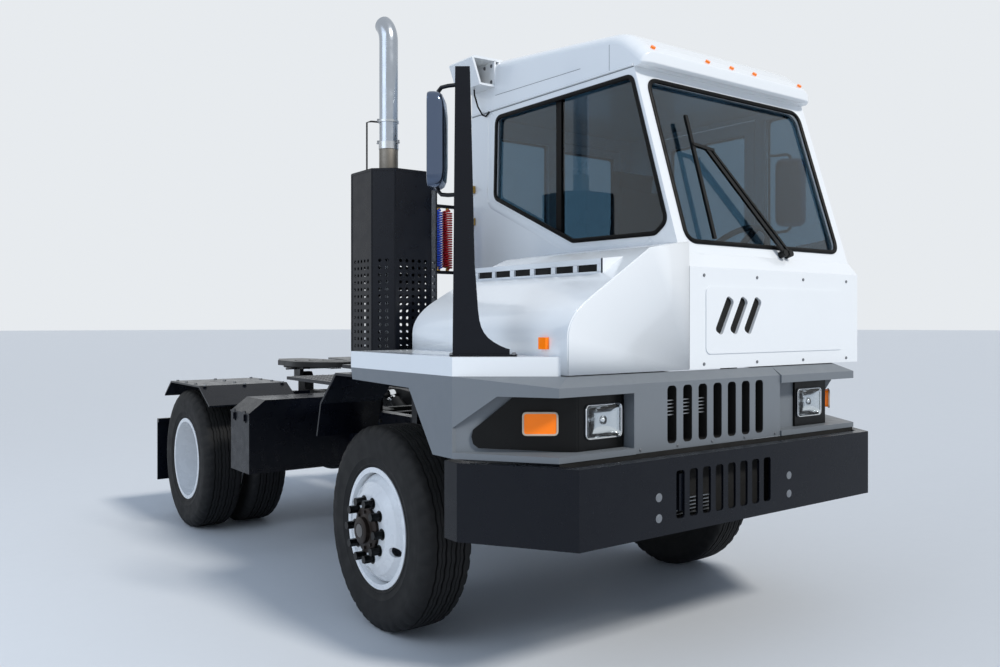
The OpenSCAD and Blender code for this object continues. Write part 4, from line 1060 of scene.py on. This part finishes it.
class TRUCK_OT_mirrors(bpy.types.Operator):
    """Mirror heads with glass, trim and bent arms, and the post of the right-hand one"""
    bl_idname = "truck.mirrors"
    bl_label = "Mirrors"

    def execute(self, context):
        middle = 2332
        # (scale, depth) of the crowned shell and of the glass
        crown = [(0.0, 0.006), (0.93, 0.006), (0.94, 0.0), (0.985, 0.0), (1.0, 0.01), (1.0, 0.028), (0.985, 0.046),
                 (0.94, 0.06), (0.84, 0.069), (0.6, 0.0745), (0.0, 0.075)]
        face = [(1.0, 0.0), (1.0, 0.0012), (0.99, 0.0018), (0.4, 0.0022)]
        glass, shells, rims = [], [], []
        for x, y, turn in ((757, -1242, 142), (740, 1242, 38)):
            a = math.radians(turn)
            u = Vector((math.cos(a), math.sin(a), 0))
            n = Vector((-math.sin(a), math.cos(a), 0))
            if n.x > 0:
                n = -n
            c = at(x, y, middle) + n * 0.0375
            shells.append(dish(box_loop(c, u, UP, 0.18, 0.41, 0.055, 10), crown, -n))
            glass.append(dish(box_loop(c - n * 0.006, u, UP, 0.164, 0.376, 0.05, 10), face, n))
            rims.append(sweep(box_loop(c, u, UP, 0.170, 0.396, 0.052, 10), lip(0.006, 0.0015), n, True))
        # bent tubes from the post and from the cab's left wall to both ends of the heads
        runs = (((862, -1184, 234), (800, -1218, 234), (772, -1234, 230), (759, -1241, 215), (757, -1242, 196)),
                ((617, 1148, 234), (617, 1205, 234), (628, 1230, 234), (660, 1238, 234), (715, 1241, 232),
                 (736, 1242, 218), (740, 1242, 196)))
        arms = [sweep([at(x, y, middle + end * h) for x, y, h in run], ring(0.009, 10))
                for end in (1, -1) for run in runs]
        heads = piece("mirror_heads", shells, "mirror_back", "chassis")
        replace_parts(heads, "mirrors")
        piece("mirror_arms", arms, "frame_enamel", "chassis")
        piece("mirror_faces", glass, "mirror_glass", "chassis")
        piece("mirror_trims", rims, "bright_steel", "chassis")
        # post of the right mirror: a blade with a foot that sweeps out to its base plate
        turn = math.radians(52)
        along, across = Vector((math.cos(turn), math.sin(turn), 0)), Vector((-math.sin(turn), math.cos(turn), 0))
        foot = at(870, -1180, 0)

        def spot(x, w, z):
            return foot + along * x + across * w + Vector((0, 0, z))

        blade = [(-45, 1418), (190, 1418), (190, 1438), (178, 1441), (150, 1453), (124, 1468), (100, 1486),
                 (82, 1508), (70, 1532), (62, 1562), (57, 1600), (42, 1800), (22, 2630), (-34, 2630)]
        verts = [spot(x / 1000, w, z / 1000) for w in (-0.03, 0.03) for x, z in blade]
        base = ((-0.062, -0.045), (0.225, -0.045), (0.225, 0.045), (-0.062, 0.045))
        plate = [spot(x, w, z) for z in (1.4098, 1.418) for x, w in base]
        post = piece("mirror_post_blade", [(verts, slab(len(blade))), (plate, BOX_FACES)], "frame_enamel", "chassis",
                     bevel=0.003)
        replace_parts(post, "mirror_post")
        spots = [(spot(x, w, 1.4185), FACE_UP) for x in (-0.053, 0.21) for w in (-0.034, 0.034)]
        bolts("post_foot_bolts", spots, 0.007, 0.006, "zinc_bolt", "chassis")
        return {"FINISHED"}


class TRUCK_OT_cab_fittings(bpy.types.Operator):
    """Drip rails and grey lines of painted shadow at the seams, grab rails, door handles, line couplings, the roof's
    work lamp and the dash's dials
    """
    bl_idname = "truck.cab_fittings"
    bl_label = "Cab fittings"

    def execute(self, context):
        # drip rails along the roof's lower edge, and the pressed line round the right window
        walls = ((CAB_RIGHT, -1), (CAB_LEFT, 1))
        rails = [sweep([at(-545, y, 2818), at(884, y, 2818)], lip(0.013, 0.009), (0, o, 0)) for y, o in walls]
        outline = ((-352, 2798), (-362, 2262), (405, 1930), (1010, 1918), (1010, 2798))
        press = rounded([at(x, CAB_RIGHT, z) for x, z in outline], 0.07, 6)[2:-9]
        crest = [(-0.002, -0.026), (0.003, -0.014), (0.005, 0.0), (0.003, 0.014), (-0.002, 0.026)]
        rails.append(sweep(press, crest, (0, -1, 0)))
        piece("drip_rails", rails, "cab_enamel", "chassis")
        # grey strips of painted shadow under both drip rails and along the crease of the roof cap's right side
        seams = [sweep([at(-545, y, 2809), at(884, y, 2809)], lip(0.004, 0.002), (0, o, 0)) for y, o in walls]
        seams.append(sweep([at(-296, CAB_RIGHT, 2900), at(480, CAB_RIGHT, 2886)], lip(0.003, 0.0012), (0, -1, 0)))
        piece("roof_seam_shadows", seams, "crease_shadow", "chassis")
        # grab rails on both sides of the left door
        runs = ((640, ((1152, 1560), (1190, 1575), (1195, 1700), (1195, 1850), (1190, 1925), (1152, 1935))),
                (-290, ((1152, 1560), (1190, 1575), (1195, 1800), (1190, 2225), (1152, 2235))))
        rails = [sweep([at(x, y, z) for y, z in run], ring(0.0125, 10)) for x, run in runs]
        piece("grab_rails", rails, "black_abs", "chassis")
        # door handles: recess plate, paddle and lock
        lock = [(0, 0), (0.009, 0), (0.009, 0.004), (0, 0.004)]
        handle = [brick(at(-190, 1150, 1880), at(-80, 1154, 1940)), brick(at(-180, 1154, 1905), at(-95, 1166, 1925)),
                  lathe(lock, at(-70, CAB_LEFT, 1911), ACROSS, 14)]
        piece("left_door_handle", handle, "black_abs", "door_left", bevel=0.002)
        handle = [brick(at(-596, 470, 1850), at(-592, 500, 2000)), brick(at(-606, 478, 1865), at(-596, 492, 1880)),
                  brick(at(-606, 478, 1970), at(-596, 492, 1985)), brick(at(-612, 476, 1860), at(-603, 494, 1990))]
        piece("rear_door_handle", handle, "black_abs", "door_rear", bevel=0.002)
        # brass couplings at the cab's rear corner
        nut = [(0, 0), (0.013, 0), (0.013, 0.012), (0.009, 0.015), (0.009, 0.03), (0, 0.03)]
        brass = []
        for z in (2166, 2363):
            brass += [brick(at(-543, -222, z - 22), at(-508, -199, z + 22)),
                      lathe(nut, at(-525, -222, z + 6), (0, -1, 0), 6)]
        piece("line_couplings", brass, "brass", "chassis", bevel=0.003)
        # mounting bolts and lead of the open lamp housing on the roof
        spots = [(at(x, -206.5, z), FACE_RIGHT) for x in (-520, -400, -330) for z in (2985, 3080)]
        bolts("housing_bolts", spots, 0.008, 0.005, "zinc_bolt", "chassis")
        lead = [at(*p) for p in ((-430, -262, 2960), (-428, -262, 2920), (-424, -240, 2850), (-410, -215, 2800),
                                 (-385, -208, 2790), (-360, -206, 2806), (-348, -203, 2822))]
        piece("work_lamp_lead", [sweep(lead, ring(0.005, 8))], "seal_rubber", "chassis")
        # round work lamp in the housing, its lens towards the coupling
        c, fwd, steps = at(-532, -268, 3030), (1, 0, 0), 28
        shell = [(0, 0.118), (0.014, 0.117), (0.03, 0.108), (0.044, 0.084), (0.052, 0.046), (0.055, 0.03),
                 (0.055, 0.0), (0.049, -0.002), (0.047, 0.012), (0, 0.012)]
        stem = brick(at(-490, -276, 2961), at(-474, -260, 2985))
        piece("work_lamp", [lathe(shell, c, fwd, steps), stem], "black_abs", "chassis")
        bowl = [(0.047, 0.0), (0.036, 0.008), (0.018, 0.011), (0.0, 0.0115)]
        piece("work_lamp_bowl", [lathe(bowl, c, fwd, steps)], "reflector", "chassis")
        lens = [(0, -0.006), (0.03, -0.005), (0.047, -0.001), (0.047, 0.001), (0, 0.0)]
        piece("work_lamp_lens", [lathe(lens, c, fwd, steps)], "lamp_glass", "chassis")
        # dials and switch rows on the dashboard
        dial = [(0, 0.004), (0.036, 0.004), (0.04, 0.0), (0.044, 0.0), (0.044, 0.008), (0.039, 0.009)]
        dials = [lathe(dial, at(965, y, 1812), (-1, 0, 0.55), 24) for y in (480, 590, 700)]
        piece("dash_dials", dials, "black_abs", "chassis")
        spots = [(at(952, y, 1745 + 35 * r), (0, -1.2, 0)) for y in range(180, 430, 36) for r in range(2)]
        bolts("dash_switches", spots, 0.011, 0.008, "black_abs", "chassis")
        return {"FINISHED"}


def tear(t, given):
    """Low pointed lozenge of tread plate."""
    body = add(t, "GeometryNodeMeshCone", {"Vertices": 6, "Radius Top": 0.35, "Radius Bottom": 1.0, "Depth": 0.3})
    size = add(t, "ShaderNodeCombineXYZ", {"Z": 0.008}, {"X": given.outputs["Length"], "Y": given.outputs["Width"]})
    return add(t, "GeometryNodeTransform", None,
               {"Geometry": body.outputs["Mesh"], "Scale": size.outputs[0]}).outputs[0]


class TRUCK_OT_chassis_hardware(bpy.types.Operator):
    """Rail bolts, tread plate, tank straps, box latches, fender bolts and coupling details"""
    bl_idname = "truck.chassis_hardware"
    bl_label = "Chassis hardware"

    def execute(self, context):
        rail = 432.5
        spots = [(at(x, side * rail, z), face) for side, face in ((-1, FACE_RIGHT), (1, FACE_LEFT))
                 for x in (1130, -540, -975, -1290, -1450, -1950, -2460, -2823, -3063, -3340, -3580)
                 for z in (760, 830, 890)]
        bolts("rail_bolts", spots, 0.012, 0.01, "axle_enamel", "chassis")
        # tread plate, its lozenges crosswise by turns, with room for the hose rack's foot
        spots = [(at(-1475 + 42 * i, -970 + 41.5 * j, 1200.2), (0, 0, math.pi / 4 if (i + j) % 2 else -math.pi / 4))
                 for i in range(22) for j in range(50)]
        foot = at(-700, 0, 0).x
        spots = [(p, r) for p, r in spots if not (abs(p.x - foot) < 0.06 and abs(p.y + 0.18) < 0.06)]
        repeat("deck_tread", spots, {"Length": 0.016, "Width": 0.0055}, tear, "tread_steel", "chassis")
        # fuel tank straps, cap and battery box latches
        straps = []
        strap = [(-0.02, -0.003), (0.02, -0.003), (0.02, 0.003), (-0.02, 0.003)]
        for x in (-2120, -1570):
            loop = rounded([at(x, 480, 525), at(x, 1040, 525), at(x, 1040, 945), at(x, 480, 945)], 0.11, 8)
            straps.append(sweep(loop, strap, (1, 0, 0), True))
        piece("tank_straps", straps, "bright_steel", "chassis")
        cap = [(0, 0.04), (0.036, 0.04), (0.042, 0.034), (0.042, 0.012), (0.03, 0.008), (0.03, -0.03)]
        piece("tank_cap", [lathe(cap, at(-1700, 860, 944), (0, 0.35, 1), 28)], "black_abs", "chassis")
        # latch plates with their paddles, and the beads of lid and end
        latch = [brick(at(x, -1156, 880), at(x + 40, -1150, 960)) for x in (-2060, -1860)]
        latch += [brick(at(x + 8, -1164, 890), at(x + 32, -1156, 935)) for x in (-2060, -1860)]
        latch.append(brick(at(-2114, -1154, 938), at(-1761, -1149, 948)))
        latch.append(brick(at(-1766, -1100, 560), at(-1762, -480, 572)))
        piece("box_latches", latch, "frame_enamel", "chassis", bevel=0.0015)
        spots = [(at(x, side * y, 1087.3), FACE_UP) for side in (-1, 1) for x in (-2540, -2760, -2990, -3210)
                 for y in (610, 900, 1190)]
        bolts("fender_bolts", spots, 0.011, 0.008, "zinc_bolt", "chassis")
        rims = [sweep(box_loop(at(-3628.5, side * 530, 810), ACROSS, UP, 0.102, 0.102, 0.012), lip(0.01, 0.005),
                      (-1, 0, 0), True) for side in (-1, 1)]
        piece("tail_lamp_rims", rims, "black_abs", "chassis")
        spots = [(at(-3628, side * y, 745), FACE_REAR) for side in (-1, 1) for y in (650, 800, 950, 1100, 1200)]
        bolts("flap_bolts", spots, 0.01, 0.008, "zinc_bolt", "chassis")
        # coupling plate: grease channels, jaw, release rod and ribs
        # black strips for the grease channels: their grease, and painted shade in the grooves
        channel = [(-0.0005, -0.006), (0.0006, -0.006), (0.0006, 0.006), (-0.0005, 0.006)]
        arcs = []
        for r, count in ((0.15, 22), (0.26, 22), (0.37, 20)):
            turns = [0.15 + 0.1 * k for k in range(count)]
            for s in (-1, 1):
                arc = [at(KINGPIN_X, 0, 1235.2) + Vector((r * math.cos(a), s * r * math.sin(a), 0)) for a in turns]
                arcs.append(sweep(arc, channel, UP))
        piece("grease_channels", arcs, "painted_shade_black", "fifth_wheel")
        jaw = [(-27, 28), (-70, 34), (-120, 52), (-120, 120), (60, 120), (60, 30), (20, 29)]
        parts = []
        for s in (-1, 1):
            low = [at(KINGPIN_X + x, s * y, 1165) for x, y in jaw]
            high = [p + Vector((0, 0, 0.028)) for p in low]
            parts.append((low + high, slab(len(jaw))))
        piece("coupling_jaw", parts, "bright_steel", "fifth_wheel", bevel=0.002)
        bends = ((-2790, -120), (-2790, -300), (-2790, -455), (-2780, -480), (-2750, -490))
        rod = [at(x, y, 1178) for x, y in bends]
        piece("release_rod", [sweep(rod, ring(0.009, 10))], "zinc_bolt", "fifth_wheel")
        ribs = [brick(at(KINGPIN_X - 240, s * y - 6, 1176), at(KINGPIN_X + 160, s * y + 6, 1196))
                for s in (-1, 1) for y in (350, 395)]
        piece("plate_ribs", ribs, "cast_iron", "fifth_wheel", bevel=0.002)
        return {"FINISHED"}


OPERATORS = [TRUCK_OT_stage, TRUCK_OT_finishes, TRUCK_OT_tyres, TRUCK_OT_wheel_hardware, TRUCK_OT_window_seals,
             TRUCK_OT_grille, TRUCK_OT_lamps, TRUCK_OT_front_panel, TRUCK_OT_hood_vents, TRUCK_OT_roof,
             TRUCK_OT_exhaust, TRUCK_OT_air_lines, TRUCK_OT_seat, TRUCK_OT_mirrors, TRUCK_OT_cab_fittings,
             TRUCK_OT_chassis_hardware]


class TRUCK_PT_panel(bpy.types.Panel):
    """Sizes, colours and pieces of the yard truck"""
    bl_label = "Yard Truck"
    bl_idname = "TRUCK_PT_panel"
    bl_space_type = "VIEW_3D"
    bl_region_type = "UI"
    bl_category = "Yard Truck"

    def draw(self, context):
        col = self.layout.column()
        for group in (context.scene.truck_sizes, context.scene.truck_colours):
            for key in group.__annotations__:
                col.prop(group, key)
        for op in OPERATORS:
            col.operator(op.bl_idname)


CLASSES = [TruckSizes, TruckColours, *OPERATORS, TRUCK_PT_panel]


def register():
    for c in CLASSES:
        bpy.utils.register_class(c)
    bpy.types.Scene.truck_sizes = PointerProperty(type=TruckSizes)
    bpy.types.Scene.truck_colours = PointerProperty(type=TruckColours)


def unregister():
    del bpy.types.Scene.truck_sizes, bpy.types.Scene.truck_colours
    for c in reversed(CLASSES):
        bpy.utils.unregister_class(c)


def main():
    register()
    make_materials()
    for op in OPERATORS:
        group, name = op.bl_idname.split(".")
        getattr(getattr(bpy.ops, group), name)()


if __name__ == "__main__":
    main()
